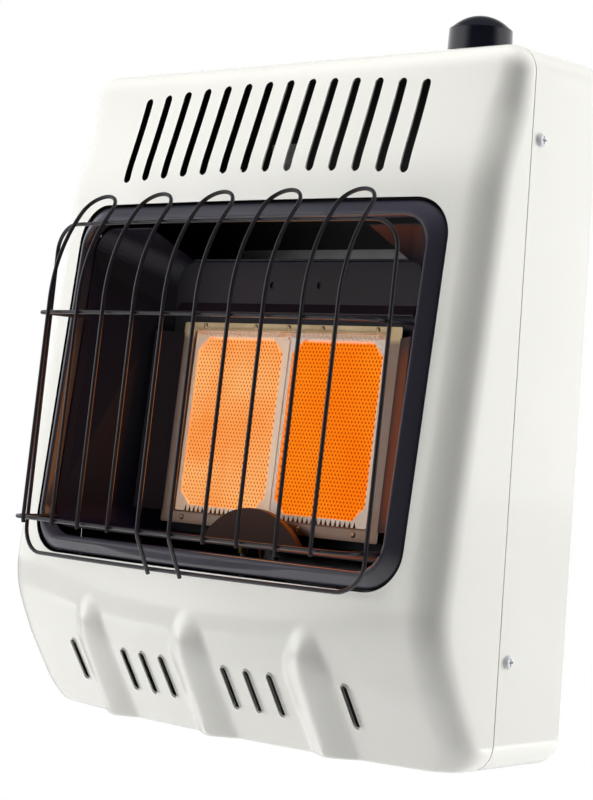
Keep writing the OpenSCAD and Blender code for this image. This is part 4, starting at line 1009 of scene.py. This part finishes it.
# Tile frame and its rivets
# A thin pressed steel frame, turned straw-coloured by the heat, holds the tiles in the burner. Its
# inner edge rolls back onto them, and ten domed rivets hold it.
frame_half_w, frame_low, frame_high = 104.5, -9, 141
frame_edge_r, frame_front, frame_roll = 1.5, -1.5, 1.2
straw_drop, straw_fade = 3, 4
rivet_r, rivet_h = 2.1, 1.0
rivet_xs = [share * tile_w for share in (-0.9, -0.35, 0, 0.35, 0.9)]
rivet_zs = [-4.6, 138.4]
opening_half, opening_low, opening_high = tile_w + tile_split / 2 - 0.5, 0.4, tile_h - 0.4
frame_section = (  # share of the way from the outer to the inner edge, depth
    (0, 0.9), (0, 0), (0.25, -0.2), (0.82, 0.1), (0.92, 0.35), (0.97, 0.7),
    (1, frame_roll), (0.9, frame_roll),
)
frame_rings = []
for share, front in frame_section:
    wide = frame_half_w + (opening_half - frame_half_w) * share
    low = frame_low + (opening_low - frame_low) * share
    high = frame_high + (opening_high - frame_high) * share
    loop = loop_xz(2 * wide, low, high, frame_edge_r, steps=4, along=2)
    frame_rings += [(x, frame_front + front, z) for x, z in loop]
ring_n = len(loop)
frame_faces = grid_faces(len(frame_section), ring_n, ring=True)
last = (len(frame_section) - 1) * ring_n
frame_faces += [(last + j, last + (j + 1) % ring_n, (j + 1) % ring_n, j) for j in range(ring_n)]
tile_frame = new_piece("tile_frame", placed(on_burner(frame_rings)), frame_faces)
tidy(tile_frame)
shaded(tile_frame, 40)
frame_steel = straw.copy()
frame_steel.name = "frame_steel"
tree = frame_steel.node_tree
here = shader_node(tree, "ShaderNodeTexCoord").outputs["Object"]
above = shader_node(tree, "ShaderNodeSeparateXYZ", {"Vector": here})
straw_z = placed(on_burner([(0, 0, tile_h - straw_drop)]))[0][2]
tinted = shader_node(tree, "ShaderNodeMapRange", {
    "Value": above.outputs["Z"], "From Min": straw_z - straw_fade / 1000, "From Max": straw_z})
blend = shader_node(tree, "ShaderNodeMix", {"Factor": tinted}, data_type="RGBA")
blend.inputs[6].default_value = linear(150, 138, 134)
blend.inputs[7].default_value = linear(240, 218, 176)
surface = next(n for n in tree.nodes if n.type == "GROUP")
tree.links.new(blend.outputs[2], surface.inputs["Colour"])
tile_frame.data.materials.append(frame_steel)
finished(tile_frame, "heater", "heat_tinted_steel", "burner_frame")

rivet_tree, given = new_tree("rivet_heads", {"Radius": "Float", "Height": "Float", "Material": "Material"})
dome = shader_node(rivet_tree, "GeometryNodeMeshUVSphere", {
    "Segments": 20, "Rings": 12, "Radius": given["Radius"]})
squash = reckon(rivet_tree, "DIVIDE", given["Height"], given["Radius"])
scale = shader_node(rivet_tree, "ShaderNodeCombineXYZ", {"X": 1.0, "Y": squash, "Z": 1.0})
set_in = shader_node(rivet_tree, "GeometryNodeInstanceOnPoints", {
    "Points": given["Geometry"], "Instance": dome, "Scale": scale})
close_tree(rivet_tree, set_in, given["Material"])
rivets = grown("tile_rivets", rivet_tree, {
    "Radius": rivet_r / 1000, "Height": rivet_h / 1000, "Material": straw,
}, placed(on_burner([(x, frame_front, z) for x in rivet_xs for z in rivet_zs])))
shaded(rivets, 60)
finished(rivets, "heater", "heat_tinted_steel", "burner_screws")

# Pilot, valve train and leads
# Turned brass, drawn copper and aluminium tube, cast aluminium bodies and a glazed insulator, all
# hidden behind the cover except the tops behind the pilot's shield.
brass = metal("brass", linear(196, 160, 84), 0.25, tarnish=linear(110, 76, 36), share=0.7)
copper = metal("copper", linear(190, 112, 76), 0.3, tarnish=linear(92, 52, 38), share=0.8)
cast = metal("cast_aluminium", linear(168, 170, 172), 0.5, share=0.4, relief=0.3)
tube = metal("aluminium_tube", linear(196, 196, 196), 0.3, share=0.3)
clad(brass, "injector", "pilot_burner", "valve_bonnet", "valve_nut", "valve_rotor")
clad(copper, "thermocouple", "thermocouple_lead")
clad(cast, "gas_valve", "regulator")
clad(tube, "supply_tube", "burner_tube", "pilot_tube")
clad(paint("glazed_insulator", linear(226, 222, 210), 0.15, coat=0.8), "electrode")
clad(paint("lead_sleeve", linear(40, 38, 38), 0.6, drift=0.2), "ignition_lead")

# Control knob
# A hollow gloss moulding with a straight skirt, a rounded shoulder and a domed cap. It pushes onto
# the valve's stem and clears the nut under it.
knob_d = 45.2
knob_x = 127.5
knob_low, knob_high = (v.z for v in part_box("control_knob"))
knob_top = (knob_high - bottom) * 1000
knob_base = (knob_low - bottom) * 1000
knob_r, knob_draft = knob_d / 2, 0.5
dome_h, dome_edge_r, shoulder_r = 9.2, 20.8, 1.3
hollow_h, knob_wall, foot_r = 9, 2, 0.4
pole_turn = 0.004
rim_z = knob_top - dome_h
dome_r = (dome_edge_r ** 2 + dome_h ** 2) / (2 * dome_h)
half_turn = math.asin(dome_edge_r / dome_r)
knob_profile = [
    (knob_r - knob_wall, knob_base + hollow_h), (knob_r - knob_wall, knob_base + foot_r),
    (knob_r - knob_wall + foot_r, knob_base), (knob_r - foot_r, knob_base), (knob_r, knob_base + foot_r),
]
knob_profile += [tuple(p) for p in rounded([
    (knob_r, knob_base + 0.6), (knob_r - knob_draft, rim_z), (dome_edge_r, rim_z)], [shoulder_r], 8)[1:]]
knob_profile += [(dome_r * math.sin(a), knob_top - dome_r * (1 - math.cos(a)))
                 for a in np.linspace(half_turn, pole_turn, 28)]
turns = 128
knob_points = [
    (knob_x + r * math.cos(a), -casing_d / 2 + r * math.sin(a), z)
    for r, z in knob_profile for a in np.linspace(0, 2 * math.pi, turns, endpoint=False)
]
knob_faces = grid_faces(len(knob_profile), turns, ring=True)
knob_faces += [tuple(range((len(knob_profile) - 1) * turns, len(knob_profile) * turns))]
knob_faces += [tuple(range(turns))[::-1]]
knob = new_piece("knob", placed(knob_points), knob_faces)
tidy(knob)
shaded(knob, 30)
knob_plastic = paint("knob_plastic", linear(20, 20, 32), 0.14, drift=0.1, dust=0.1, peel=0.02,
                     coat=0.5, coat_rough=0.06)
knob.data.materials.append(knob_plastic)
finished(knob, "knob", "knob_plastic", "control_knob")
